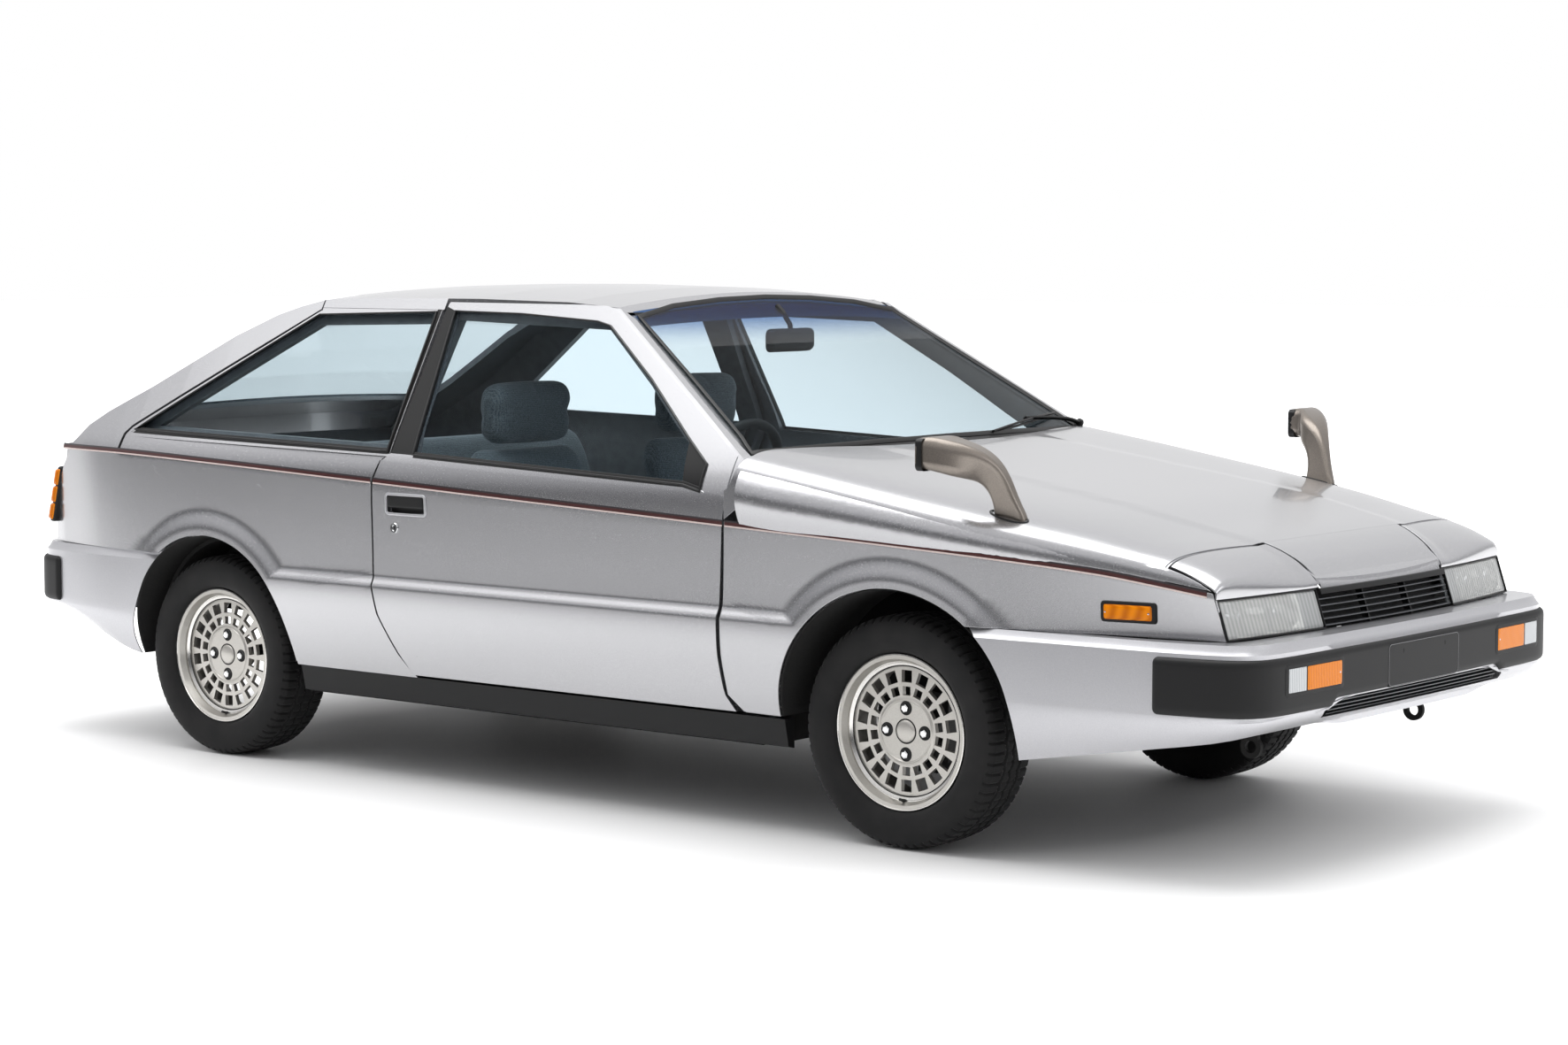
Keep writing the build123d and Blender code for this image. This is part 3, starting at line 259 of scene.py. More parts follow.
# The slot a new piece's finish belongs to, by the finish; a stripe or a chrome part belongs to none.
SLOT_OF_FINISH = {finish.name: entry for entry, finish in NODE_FINISH.items()}
SLOT_OF_FINISH.update({polished_lip.name: "alloy", red_lens.name: "amber_lens", clear_lens.name: "lamp_glass",
                       satin_black.name: "black_plastic", mirror_glass.name: "mirror_shell"})


# ---- Shapes of the body -----------------------------------------------------------------------


def run(*keys):
    """A smooth line through (x, value) keys: cubic pieces whose slope at a key is that of the line
    through its neighbours, and straight beyond both ends. Takes and gives arrays."""
    xs, vs = np.array(keys, float).T
    before, after = np.r_[0, np.arange(len(xs) - 1)], np.r_[np.arange(1, len(xs)), len(xs) - 1]
    slopes = (vs[after] - vs[before]) / (xs[after] - xs[before])

    def at(x):
        x = np.asarray(x, float)
        i = np.clip(np.searchsorted(xs, x, side="right") - 1, 0, len(xs) - 2)
        h = xs[i + 1] - xs[i]
        t = np.clip((x - xs[i]) / h, 0, 1)
        inside = ((2 * t**3 - 3 * t**2 + 1) * vs[i] + (t**3 - 2 * t**2 + t) * h * slopes[i]
                  + (3 * t**2 - 2 * t**3) * vs[i + 1] + (t**3 - t**2) * h * slopes[i + 1])
        return inside + np.minimum(x - xs[0], 0) * slopes[0] + np.maximum(x - xs[-1], 0) * slopes[-1]
    return at


def ease(t):
    """0 below 0, 1 above 1 and 3t^2 - 2t^3 between."""
    t = np.clip(t, 0, 1)
    return t * t * (3 - 2 * t)


half_width = run((-2060, 738), (-1990, 762), (-1781, 804), (-1484, 824), (-1000, 829), (0, 830),
                 (700, 828), (1200, 823), (1405, 810), (1571, 783), (1813, 737), (2039, 700))
crease_z = run((-1990, 862), (-1661, 861), (-1215, 847), (-601, 822), (-108, 801), (337, 783),
               (808, 763), (1119, 750), (1416, 734), (1699, 709), (1850, 688), (1993, 666))
bonnet_z = run((640, 968), (900, 931), (1151, 894), (1400, 858), (1590, 828), (1750, 794),
               (1907, 757), (1985, 718), (2044, 667), (2110, 654))
bonnet_power = run((640, 9), (1047, 7), (1488, 4.8), (1874, 4.6), (2044, 5))
ridge_y = run((700, 352), (1156, 362), (1360, 370), (1572, 380), (1745, 374), (1916, 353), (2044, 345))
ARCHES = ((1150.0, 288.0, 358.0), (-1290.0, 300.0, 341.0))
LEDGE_LOW, LEDGE_TOP, LEDGE_DEPTH = 536.0, 569.0, 13.0
FLARE_LIP, FLARE_BLEND = 16.0, 62.0
# How far the outer skins stand off the body's surface, and the windscreen's run back for each mm of rise.
SKIN = 2.8
SCREEN_RUN = 1.715


def screen_x(y, z):
    """The windscreen's surface: x = 761 - 1.715 (z - 941) - 0.000164 y^2."""
    return 761 - SCREEN_RUN * (z - 941) - 1.64e-4 * y * y


def nose_x(y, z):
    """The nose's surface: x = 2044 - 0.000105 y^2 + 0.33 (665 - z)."""
    return 2044 - 1.05e-4 * y * y + 0.33 * (665 - z)


def lean(z):
    """How far the side has turned in at height z above the waist: a slope that grows smoothly to 0.545."""
    slope, soft = 0.545, 12
    return soft * np.log1p(np.exp(np.minimum((z - 869.4) * slope / soft, 60)))


def side_y(x, z):
    """Half width of the body side at (x, z): tucked in with the square of the depth below the ledge,
    a step of 13 mm inwards over the ledge that swings up round the wheel arches as a flare, bulging out
    7 mm up to the crease, and leaning in above it."""
    x, z = np.broadcast_arrays(np.asarray(x, float), np.asarray(z, float))
    w, crest = half_width(x), crease_z(x)
    away = np.clip((z - LEDGE_LOW) / (LEDGE_TOP - LEDGE_LOW), 0, 1)
    for cx, cz, radius in ARCHES:
        away = np.minimum(away, (np.hypot(x - cx, z - cz) - radius - FLARE_LIP) / FLARE_BLEND)
    tuck = 42 * np.minimum(np.maximum(LEDGE_LOW - z, 0) / 236, 2) ** 2
    bulge = 7 * np.clip((z - LEDGE_TOP) / (crest - LEDGE_TOP), 0, 1) ** 1.5
    below = w - tuck - LEDGE_DEPTH * ease(away) + bulge
    return np.where(z <= crest, below, w - 6 - (lean(z) - lean(crest)))


def bonnet_at(x, y):
    """Height of the bonnet: crease + (top - crease) (1 - |y / half|^n)^(1/n), with a flat of 3.5 mm raised
    between the two ridge lines."""
    half, n = half_width(x) - 6, bonnet_power(x)
    share = np.clip(1 - np.abs(y / half) ** n, 0, 1) ** (1 / n)
    flat = 3.5 * ease((ridge_y(x) + 14 - np.abs(y)) / 28) * ease((x - 720) / 160)
    return crease_z(x) + (bonnet_z(x) - crease_z(x)) * share + flat


# ---- Making meshes ----------------------------------------------------------------------------


def quads(rows, cols, close_rows=False, close_cols=False):
    """Corner numbers of every quad of a grid of rows by cols points."""
    i, j = np.meshgrid(np.arange(rows - (not close_rows)), np.arange(cols - (not close_cols)), indexing="ij")
    k, m = (i + 1) % rows, (j + 1) % cols
    return np.stack([i * cols + j, k * cols + j, k * cols + m, i * cols + m], -1).reshape(-1, 4)


def piece(name, patches, finishes, body, out=None, thick=0.0, round_mm=0.0, weld=0.02, crisp=35.0):
    """One mesh piece from grids of points in mm. A patch is a dict: grid (rows, cols, 3), rows/cols closed
    or not, keep (a mask of its quads) and finish (a number in finishes). Shared edges are welded, the faces
    turn to out (a direction, or None for a closed form), Solidify thickens it inwards and Bevel rounds it."""
    points, faces, marks, start = [], [], [], 0
    for patch in patches:
        if not isinstance(patch, dict):
            patch = {"grid": patch}
        grid = np.asarray(patch["grid"], float)
        rows, cols = grid.shape[:2]
        own = quads(rows, cols, patch.get("rows", False), patch.get("cols", False))
        if "keep" in patch:
            own = own[np.asarray(patch["keep"]).reshape(-1)]
        points.append(grid.reshape(-1, 3))
        faces.append(own + start)
        marks.append(np.full(len(own), patch.get("finish", 0)))
        start += rows * cols
    points, faces, marks = np.concatenate(points) * MM, np.concatenate(faces), np.concatenate(marks)
    mesh = bpy.data.meshes.new(name)
    mesh.from_pydata(points.tolist(), [], faces.tolist())
    mesh.polygons.foreach_set("material_index", marks.astype(np.int32))
    finishes = finishes if isinstance(finishes, (list, tuple)) else [finishes]
    for one in finishes:
        mesh.materials.append(one)
    tidy = bmesh.new()
    tidy.from_mesh(mesh)
    bmesh.ops.remove_doubles(tidy, verts=tidy.verts, dist=weld * MM)
    bmesh.ops.dissolve_degenerate(tidy, edges=tidy.edges, dist=0.005 * MM)
    bmesh.ops.delete(tidy, geom=[v for v in tidy.verts if not v.link_faces], context="VERTS")
    bmesh.ops.recalc_face_normals(tidy, faces=tidy.faces)
    tidy.to_mesh(mesh)
    tidy.free()
    if out is not None:
        normals = np.empty(len(mesh.polygons) * 3)
        areas = np.empty(len(mesh.polygons))
        mesh.polygons.foreach_get("normal", normals)
        mesh.polygons.foreach_get("area", areas)
        if ((normals.reshape(-1, 3) @ np.asarray(out, float)) * areas).sum() < 0:
            mesh.flip_normals()
    mesh.shade_smooth()
    mesh.set_sharp_from_angle(angle=math.radians(crisp))
    made = bpy.data.objects.new(name, mesh)
    bpy.context.scene.collection.objects.link(made)
    if thick:
        wall = made.modifiers.new("wall", "SOLIDIFY")
        wall.thickness, wall.offset = thick * MM, -1.0
    if round_mm:
        edge = made.modifiers.new("edge", "BEVEL")
        edge.width, edge.segments, edge.limit_method = round_mm * MM, 2, "ANGLE"
        edge.angle_limit, edge.harden_normals = math.radians(40), True
    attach(made, body)
    return made


def trace(keys, steps):
    """Points along straight runs between keys, the given number of steps in each run, ends included."""
    keys = np.asarray(keys, float)
    steps = np.broadcast_to(steps, len(keys) - 1)
    runs = [a + (b - a) * np.linspace(0, 1, n, endpoint=False)[:, None]
            for a, b, n in zip(keys[:-1], keys[1:], steps)]
    return np.concatenate(runs + [keys[-1:]])


def between(inner, outer, shares):
    """Grid of points from a row of inner points to the matching outer points: inner + s (outer - inner)."""
    inner, outer, s = np.asarray(inner, float), np.asarray(outer, float), np.asarray(shares, float)
    return inner[None] + s[:, None, None] * (outer - inner)[None]


def on_side(flat, sign, lift=SKIN):
    """Points (x, z) put on the body side of that sign, standing proud by lift."""
    flat = np.asarray(flat, float)
    x, z = flat[..., 0], flat[..., 1]
    return np.stack([x, sign * (side_y(x, z) + lift), z], -1)


def sweep(path, section, side_axis, closed=True):
    """A section, as (u, v) pairs, carried along a path: point + u * across + v * up, where across is at right
    angles to the path and to side_axis, and up to both. An open path's ends are closed to their middle."""
    path, section = np.asarray(path, float), np.asarray(section, float)
    if closed:
        tangent = np.roll(path, -1, 0) - np.roll(path, 1, 0)
    else:
        tangent = np.gradient(path, axis=0)
    tangent /= np.linalg.norm(tangent, axis=1, keepdims=True)
    up = np.broadcast_to(np.asarray(side_axis, float), path.shape)
    across = np.cross(tangent, up)
    across /= np.linalg.norm(across, axis=1, keepdims=True)
    up = np.cross(across, tangent)
    grid = path[:, None] + section[None, :, :1] * across[:, None] + section[None, :, 1:] * up[:, None]
    if not closed:
        first = np.broadcast_to(grid[0].mean(0), grid[:1].shape)
        last = np.broadcast_to(grid[-1].mean(0), grid[-1:].shape)
        grid = np.concatenate([first, grid, last])
    return {"grid": grid, "rows": closed, "cols": True}


def rounded(width, height, corner, steps=4):
    """Closed outline of a rounded rectangle about its middle, as (u, v) pairs: quarter circles and lines."""
    corner = min(corner, width / 2 - 0.01, height / 2 - 0.01)
    turn = np.linspace(0, math.pi / 2, steps + 1)
    quarter = np.stack([np.cos(turn), np.sin(turn)], -1) * corner
    spins = np.array([[1, 1], [-1, 1], [-1, -1], [1, -1]])
    arms = [quarter * s if s[0] * s[1] > 0 else quarter[::-1] * s for s in spins]
    middle = (width / 2 - corner, height / 2 - corner)
    return np.concatenate([arm + s * middle for arm, s in zip(arms, spins)])


def lathe(profile, centre, axis, turns=48, start=0.0):
    """A turned form: profile points (radius, height) spun about axis through centre."""
    profile, axis = np.asarray(profile, float), np.asarray(axis, float) / np.linalg.norm(axis)
    side = np.cross(axis, (0, 0, 1) if abs(axis[2]) < 0.9 else (1, 0, 0))
    side /= np.linalg.norm(side)
    other = np.cross(axis, side)
    a = start + np.linspace(0, 2 * math.pi, turns, endpoint=False)
    ring = np.cos(a)[:, None] * side + np.sin(a)[:, None] * other
    grid = np.asarray(centre, float) + profile[:, None, :1] * ring[None] + profile[:, None, 1:] * axis
    return {"grid": grid, "cols": True}


def raised(u0, u1, v0, v1, corner, depth, roll, base=-4.0, nu=24, nv=12):
    """A raised rounded rectangle as (u, v, w): w = depth sqrt(1 - (1 - d / roll)^2), where d is the distance
    in from the outline, and a wall down to the base round it."""
    su, sv = (0.5 - 0.5 * np.cos(math.pi * np.linspace(0, 1, count + 1)) for count in (nu, nv))
    u, v = np.meshgrid(u0 + (u1 - u0) * su, v0 + (v1 - v0) * sv, indexing="ij")
    near_u, near_v = np.clip(u, u0 + corner, u1 - corner), np.clip(v, v0 + corner, v1 - corner)
    far = np.hypot(u - near_u, v - near_v)
    pull = np.where(far > corner, corner / np.maximum(far, 1e-9), 1)
    u, v = near_u + (u - near_u) * pull, near_v + (v - near_v) * pull
    qu = np.abs(u - (u0 + u1) / 2) - (u1 - u0) / 2 + corner
    qv = np.abs(v - (v0 + v1) / 2) - (v1 - v0) / 2 + corner
    inside = corner - np.hypot(np.maximum(qu, 0), np.maximum(qv, 0)) - np.minimum(np.maximum(qu, qv), 0)
    w = depth * np.sqrt(1 - (1 - np.clip(inside / roll, 0, 1)) ** 2)
    return (np.pad(u, 1, mode="edge"), np.pad(v, 1, mode="edge"), np.pad(w, 1, constant_values=base))


def boss(name, place, sizes, lift, finish, body, out, crisp=35.0, **grid):
    """A piece made of one raised rounded rectangle, lifted off the surface that place puts it on."""
    u, v, w = raised(*sizes, **grid)
    return piece(name, [place(u, v, w + lift)], finish, body, out=out, crisp=crisp)


def bead(name, path, size, up, finish, body, closed=True, crisp=35.0):
    """A piece with a rounded section, given as the arguments of rounded, carried along a path."""
    return piece(name, [sweep(path, rounded(*size), up, closed)], finish, body, crisp=crisp)


def turned(name, profile, centre, axis, turns, finish, body, start=0.0, **more):
    """A piece turned from one profile of (radius, height) about an axis."""
    return piece(name, [lathe(profile, centre, axis, turns, start)], finish, body, **more)


def side_title(value):
    """The name of the side that a y or a sign lies on."""
    return "right" if value < 0 else "left"


# ---- Outer panels -----------------------------------------------------------------------------
SIDES = (("right", -1), ("left", 1))


def pillar_x(z):
    """The door frame's front edge, 6 mm behind the windscreen's surface where the side meets it."""
    z = np.asarray(z, float)
    return screen_x(side_y(600.0, z), z) - 6


# The door's rear and front edges below the waist as (z, x), and the top of its frame.
DOOR_REAR = np.array([(300, -486), (356, -524), (463, -585), (539, -603), (573, -607), (769, -606),
                      (825, -603), (882, -582)], float)
DOOR_FRONT = np.array([(300, 650), (343, 624), (445, 617), (561, 618), (773, 632), (845, 643)], float)
DOOR_TOP_Z = 1309.0
# The handle's hole (x from, x to, z from, z to), and the door's two ends at that height.
HANDLE = (-552.0, -404.0, 741.0, 795.0)
DOOR_AT_HANDLE = (-606.0, 631.0)


def door_skin(name, sign):
    """Outer skin of a door: below the waist a grid of (share from rear edge to front edge, height), with a
    hole for the handle; above it a band from the window's edge to the frame's edge."""
    window = [(-463, 903), (-467, 930), (-501, 1288), (-250, 1284), (32, 1268), (82, 1257), (286, 1124),
              (474, 984), (563, 921), (559, 855), (501, 868), (-463, 903)]
    frame_edge = [(-582, 882), (-548, 906), (-536, DOOR_TOP_Z), (-250, DOOR_TOP_Z),
                  (pillar_x(DOOR_TOP_Z) - 24, DOOR_TOP_Z),
                  *((pillar_x(z), z) for z in (1300, 1150, 1005, 943)), (643, 845), (520, 848), (-582, 882)]
    steps = [3, 16, 8, 8, 3, 10, 10, 6, 5, 6, 48]
    band = between(trace(window, steps), trace(frame_edge, steps), np.linspace(0, 1, 7))
    waist = trace(frame_edge[8:], steps[8:])[5:]
    share = (waist[:, 0] - waist[:, 0].min()) / np.ptp(waist[:, 0])
    rear, front = DOOR_AT_HANDLE
    marks = [(mark - rear) / (front - rear) for mark in HANDLE[:2]]
    nearest = [np.abs(share - mark).argmin() for mark in marks]
    share[nearest] = marks
    order = np.argsort(share)
    share = share[order]
    z = np.r_[np.linspace(300, 520, 12), np.linspace(531, 575, 12), np.linspace(600, 741, 7),
              np.linspace(759, 795, 3), np.linspace(815, 835, 2)]
    back, fore = np.interp(z, *DOOR_REAR.T), np.interp(z, *DOOR_FRONT.T)
    x = back[:, None] + share[None] * (fore - back)[:, None]
    lower = np.stack([x, np.broadcast_to(z[:, None], x.shape)], -1)
    lower = np.concatenate([lower, waist[order][None]])
    mid_z = (z[:-1] + z[1:]) / 2
    in_z = np.r_[(mid_z > HANDLE[2]) & (mid_z < HANDLE[3]), False]
    mid_s = (share[:-1] + share[1:]) / 2
    in_s = (mid_s > marks[0]) & (mid_s < marks[1])
    keep = ~(in_z[:, None] & in_s[None])
    return piece(name, [{"grid": on_side(lower, sign), "keep": keep}, on_side(band, sign)], silver,
                 "door_" + name.split("_")[-1], out=(0, sign, 0), thick=3.0, round_mm=1.2, weld=0.6)


def arc(cx, cz, radius, start, end, count):
    """Points on a circle about (cx, cz) from one angle to another, in degrees."""
    a = np.radians(np.linspace(start, end, count))
    return np.stack([cx + radius * np.cos(a), cz + radius * np.sin(a)], -1)


# From an arch's edge outwards: finer over the first third, where the flare turns.
ARCH_SHARES = np.r_[np.linspace(0, 0.3, 16), np.linspace(0.33, 1, 22)]


def arch_panel(arch, stops, ahead, outer, steps):
    """Grid between a wheel arch's edge, stop by stop in degrees and then run on through the points ahead, and
    the panel's edge, with the given steps in each run."""
    runs = [arc(*arch, a, b, n + 1) for a, b, n in zip(stops[:-1], stops[1:], steps)]
    onward = trace([runs[-1][-1], *ahead], steps[len(runs):])
    return between(np.concatenate([r[:-1] for r in runs] + [onward]), trace(outer, steps), ARCH_SHARES)


def wing_skin(name, sign):
    """Outer skin of a front wing: a grid between the wheel arch's edge and the panel's edge, running on
    forward between the bumper's line and a line 12 mm above the crease, under the bonnet's edge."""
    top = [(x, float(crease_z(x)) + 12) for x in (640, 850, 1060, 1270, 1480, 1700, 1880, 1986)]
    grid = arch_panel(ARCHES[0], [178, 168, 157, 150, 142, 130, 114, 92, 70, 51.8],
                      [(1660, LEDGE_TOP), (1875, LEDGE_TOP), (2018, LEDGE_TOP)],
                      [(676, 302), (634, 343), (631, 445), (631, 528), (631, 580), *top],
                      [4, 8, 6, 14, 18, 16, 16, 16, 16, 12, 10, 8])
    return piece(name, [on_side(grid, sign)], silver, "body",
                 out=(0, sign, 0), thick=3.0, round_mm=1.2, weld=0.3)


QUARTER_WINDOW = [(-1622, 931), (-1026, 1272), (-569, 1285), (-563, 909), (-1622, 931)]
QUARTER_STEPS = [30, 12, 14, 30]


def quarter_skin(name, sign):
    """Outer skin of a rear quarter: a grid between the wheel arch's edge and the panel's edge, and a band
    round the window up to the tailgate's line."""
    outer = [(-486, 302), (-530, 356), (-591, 463), (-609, 539), (-613, 573), (-612, 769), (-609, 825),
             (-585, 885), (-900, 893), (-1200, 899), (-1500, 908), (-1640, 912), (-1672, 861), (-1800, 861),
             (-1938, 862), (-1986, 812), (-2050, 700), (-2058, 590)]
    lower = arch_panel(ARCHES[1], [0.5, 8, 17, 25, 33, 42, 56, 62, 68, 84, 100, 112, 118, 122, 125.4],
                       [(-1700, 579), (-1900, 579), (-2061, 579)], outer,
                       [4, 6, 10, 12, 18, 22, 6, 6, 14, 14, 10, 6, 5, 5, 8, 8, 10])
    edge = [(-1644, 925), (-1028, 1283), (-554, 1290), (-554, 896), (-1644, 912)]
    band = between(trace(QUARTER_WINDOW, QUARTER_STEPS), trace(edge, QUARTER_STEPS), np.linspace(0, 1, 4))
    return piece(name, [on_side(lower, sign), on_side(band, sign)], silver, "body",
                 out=(0, sign, 0), thick=3.0, round_mm=1.0, weld=0.3)


BONNET_HEM = 14.0
LID_REAR = ((333.0, 1902.0), (712.0, 1869.0))
LID_INNER = run((1902, 333), (2060, 297))
LID_OUTER = run((1869, 712), (2010, 706))


def section_y(q, half, n, low):
    """Half-width positions across the bonnet for q from -1 to 1. The outer half of the points on each side
    share out the height of the section evenly from its share low, y = half (1 - t^n)^(1/n), and the inner
    half the width."""
    p = 1 - np.abs(q)
    t = low + (0.9 - low) * np.minimum(2 * p, 1)
    flat = (1 - 0.9 ** n) ** (1 / n)
    return np.sign(q) * half * np.where(p < 0.5, (1 - t ** n) ** (1 / n), flat * (2 - 2 * p))


def bonnet_grid(x_rear, x_front, q, lift=SKIN):
    """Bonnet points: across by section_y, which takes x, and along from x_rear(y) to x_front(y), which take y,
    so six rounds bring the two together."""
    rows = 44
    share = np.linspace(0, 1, rows)[:, None]
    x = np.full((rows, len(q)), 1400.0)
    for _ in range(6):
        half, n = half_width(x) - 6, bonnet_power(x)
        y = section_y(q, half, n, BONNET_HEM / (bonnet_z(x) - crease_z(x)))
        x = x_rear(y) + share * (x_front(y) - x_rear(y))
    return np.stack([x, y * (1 + lift / half), bonnet_at(x, y) + lift], -1)


def nose_edge(last, low):
    """Rows that carry the front edge of a panel down the nose's surface to height low."""
    drop = np.linspace(0, 1, 5)[1:, None]
    z = last[None, :, 2] + drop * (low - last[None, :, 2])
    x = nose_x(last[None, :, 1], z) + (last[None, :, 0] - nose_x(last[:, 1], last[:, 2])[None]) * (1 - drop)
    return np.stack([x, np.broadcast_to(last[None, :, 1], z.shape), z], -1)


def lid_edge_share(x):
    """How high in the bonnet's section, from 0 at the crease to 1, the outer edge of a lamp lid runs."""
    half, n = half_width(x) - 6, bonnet_power(x)
    return (1 - np.minimum((LID_OUTER(x) - 5) / half, 1) ** n) ** (1 / n)


def softened(grid, passes):
    """A grid whose rows are averaged with their neighbours, 1 2 1 over 4, so that a bend across them turns
    in a curve; the end rows stay."""
    for _ in range(passes):
        grid[1:-1] = (grid[:-2] + 2 * grid[1:-1] + grid[2:]) / 4
    return grid


def bonnet_skin():
    """Outer skin of the bonnet: its arched section from the windscreen's foot to the nose, with places left
    for the two lamp lids, and the narrow fingers outside them."""
    def back(y):
        z = bonnet_at(np.full_like(y, 665.0), y)
        corner = np.interp(z, (773, 856, 946), (639, 652, 689))
        return np.where(z > 925, np.maximum(screen_x(y, 945.0) + 32, corner), corner)

    def fore(y):
        return np.interp(np.abs(y), (0, LID_REAR[0][0], LID_REAR[1][0], 900), (1902, 1902, 1869, 1869)) - 4

    main = bonnet_grid(back, fore, np.linspace(-1, 1, 101))
    rows = np.linspace(0, 1, 24)[:, None]
    cols = np.linspace(-1, 1, 30)[None]
    x = 1898 + rows * (nose_x(0, 668) - 1898)
    y = cols * (LID_INNER(x) - 4)
    x = np.where(rows > 0.5, x - (nose_x(0, 668) - nose_x(y, 668)) * (rows - 0.5) * 2, x)
    tongue = np.stack([x + 0 * y, y, bonnet_at(x, y) + SKIN], -1)
    patches = [main, softened(np.concatenate([tongue, nose_edge(tongue[-1], 651.0)]), 5)]
    for sign in (-1, 1):
        along = np.linspace(1865, 2016, 24)[:, None]
        half, n = half_width(along) - 6, bonnet_power(along)
        tall = bonnet_z(along) - crease_z(along)
        top = np.maximum(lid_edge_share(along) - 5 / tall, 0.02)
        low = np.minimum(BONNET_HEM / tall, top - 0.01)
        y = sign * half * (1 - (low + (top - low) * np.linspace(1, 0, 10)[None]) ** n) ** (1 / n)
        patches.append(np.stack([along + 0 * y, y * (1 + SKIN / half), bonnet_at(along, y) + SKIN], -1))
    return piece("bonnet_skin", patches, silver, "bonnet", out=(0, 0, 1), thick=2.5, round_mm=1.2, weld=1.0)


def lid_skin(name, sign):
    """Lid over a headlamp: the bonnet's surface between its own four edges."""
    u, v = np.linspace(0, 1, 24)[:, None], np.linspace(0, 1, 24)[None]
    gap = 5.0
    rear = np.interp(LID_INNER(1902) + v * 370, *np.array(LID_REAR).T) + gap
    x = rear + u * (nose_x(500, 655) - rear) + 0 * v
    y = (LID_INNER(x) + gap) * (1 - v) + (LID_OUTER(x) - gap) * v
    x = x - u**4 * (nose_x(500, 655) - nose_x(y, 655))
    y = np.minimum(y, half_width(x) - 6)
    grid = np.stack([x, sign * y, bonnet_at(x, y) + SKIN], -1)
    made = piece(name, [softened(np.concatenate([grid, nose_edge(grid[-1], 664.0)]), 8)], silver,
                 "headlamp_" + name, out=(0, 0, 1), thick=6.0, round_mm=1.0)
    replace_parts(made, "headlamp_lid_" + name.split("_")[-1])
    return made


def stripe(name, sign, body, x_from, x_to):
    """Coach stripe on one panel: three lines side by side, each keeping its height over the crease."""
    x = np.linspace(x_from, x_to, 60)
    # The lowest line, pale, straddles the crease: partly pinstripe, partly painted crease highlight.
    lines = ((15.0, 10.5, 0), (10.5, 2.5, 1), (2.5, -1.5, 2))
    patches = []
    for high, low, mark in lines:
        z = crease_z(x)[None] + np.linspace(low, high, 4)[:, None]
        flat = np.stack([np.broadcast_to(x, z.shape), z], -1)
        patches.append({"grid": on_side(flat, sign, SKIN + 0.5), "finish": mark})
    return piece(name, patches, [dark_line, maroon, pale_stripe_and_crease_highlight], body, out=(0, sign, 0))


def arch_liner(name, arch, start, end, sign):
    """Black liner of a wheel arch: a band inside the arch's circle, from the outer skin to the inner wall."""
    flat = arc(arch[0], arch[1], arch[2] - 2.5, start, end, 60)
    shares = np.array([0.0, 0.05, 0.3, 0.65, 1.0])[:, None]
    inner_y = 590
    y = (side_y(flat[:, 0], flat[:, 1]) - 3)[None] * (1 - shares) + inner_y * shares
    grid = np.stack(np.broadcast_arrays(flat[None, :, 0], sign * y, flat[None, :, 1]), -1)
    return piece(name, [grid], underseal, "body", thick=1.5)


for side, sign in SIDES:
    door_skin("door_skin_" + side, sign)
    wing_skin("wing_skin_" + side, sign)
    quarter_skin("quarter_skin_" + side, sign)
    lid_skin("lid_" + side, sign)
    arch_liner("front_arch_liner_" + side, ARCHES[0], -3, 178, sign)
    arch_liner("rear_arch_liner_" + side, ARCHES[1], 1, 185, sign)
    stripe("door_stripe_" + side, sign, "door_" + side, -602, 634)
    stripe("wing_stripe_" + side, sign, "body", 642, 1972)
    stripe("quarter_stripe_" + side, sign, "body", -1985, -611)
bonnet_skin()


# ---- Bumpers, pads and lamps ------------------------------------------------------------------


# How far a bumper's end face is drawn back, so that what stands proud of it stays inside the car's length.
DRAWN_BACK = 12.6
# Height of the pads' lower edge, and the height that stands for a cover's own lower edge in its rows.
PADS_LOW, COVER_LOW = 400.0, 240.0


class Bumper:
    """The surface of a bumper: a plan line run(length) -> (x, y) on both sides of the middle, moved inwards
    by a chamfer at the top edge and by a curl that grows with the square of the depth below the pads."""

    def __init__(self, half_plan, under, top_z, way, notch=0.0):
        plan = np.array(half_plan, float)
        plan = np.concatenate([plan * (1, -1), plan[::-1][1:]])
        length = np.r_[0, np.cumsum(np.hypot(*np.diff(plan, axis=0).T))]
        self.total = length[-1]
        self.x, self.y = run(*zip(length, plan[:, 0])), run(*zip(length, plan[:, 1]))
        self.under, self.top_z, self.way, self.notch = run(*under), top_z, way, notch
        self.spread = np.linspace(0, self.total, 2000)

    def length_at_x(self, x):
        """Length along the plan, in its near half, where it reaches x."""
        near = self.spread[:1000]
        return np.interp(np.asarray(x) * self.way, self.x(near) * self.way, near)

    def inset(self, x, z):
        """How far inside the plan the surface lies: the curl below, and a chamfer in the top 22 mm."""
        low = self.under(x)
        curl = 34 * np.clip((PADS_LOW - z) / np.maximum(PADS_LOW - low, 1), 0, 1) ** 2
        return curl + 15 * np.clip((z - (self.top_z - 22)) / 22, 0, 1) ** 0.8

    def brim(self, length):
        """Height of the pads' lower edge: 400, and higher by the notch over the intake."""
        return PADS_LOW + self.notch * ease((430 - np.abs(length - self.total / 2)) / 24)

    def at(self, length, z, proud=0.0):
        """Points at lengths along the plan and heights z, standing proud along the plan's normal."""
        length, z, proud = np.broadcast_arrays(length, z, proud)
        x, y = self.x(length), self.y(length)
        dx, dy = self.x(length + 1) - self.x(length - 1), self.y(length + 1) - self.y(length - 1)
        size = np.hypot(dx, dy)
        nx, ny = dy / size * self.way, -dx / size * self.way
        out = proud - self.inset(x, z)
        back = DRAWN_BACK * ease((np.abs(x) - 1700) / 350) * self.way
        return np.stack([x + nx * out - back, y + ny * out, z], -1)


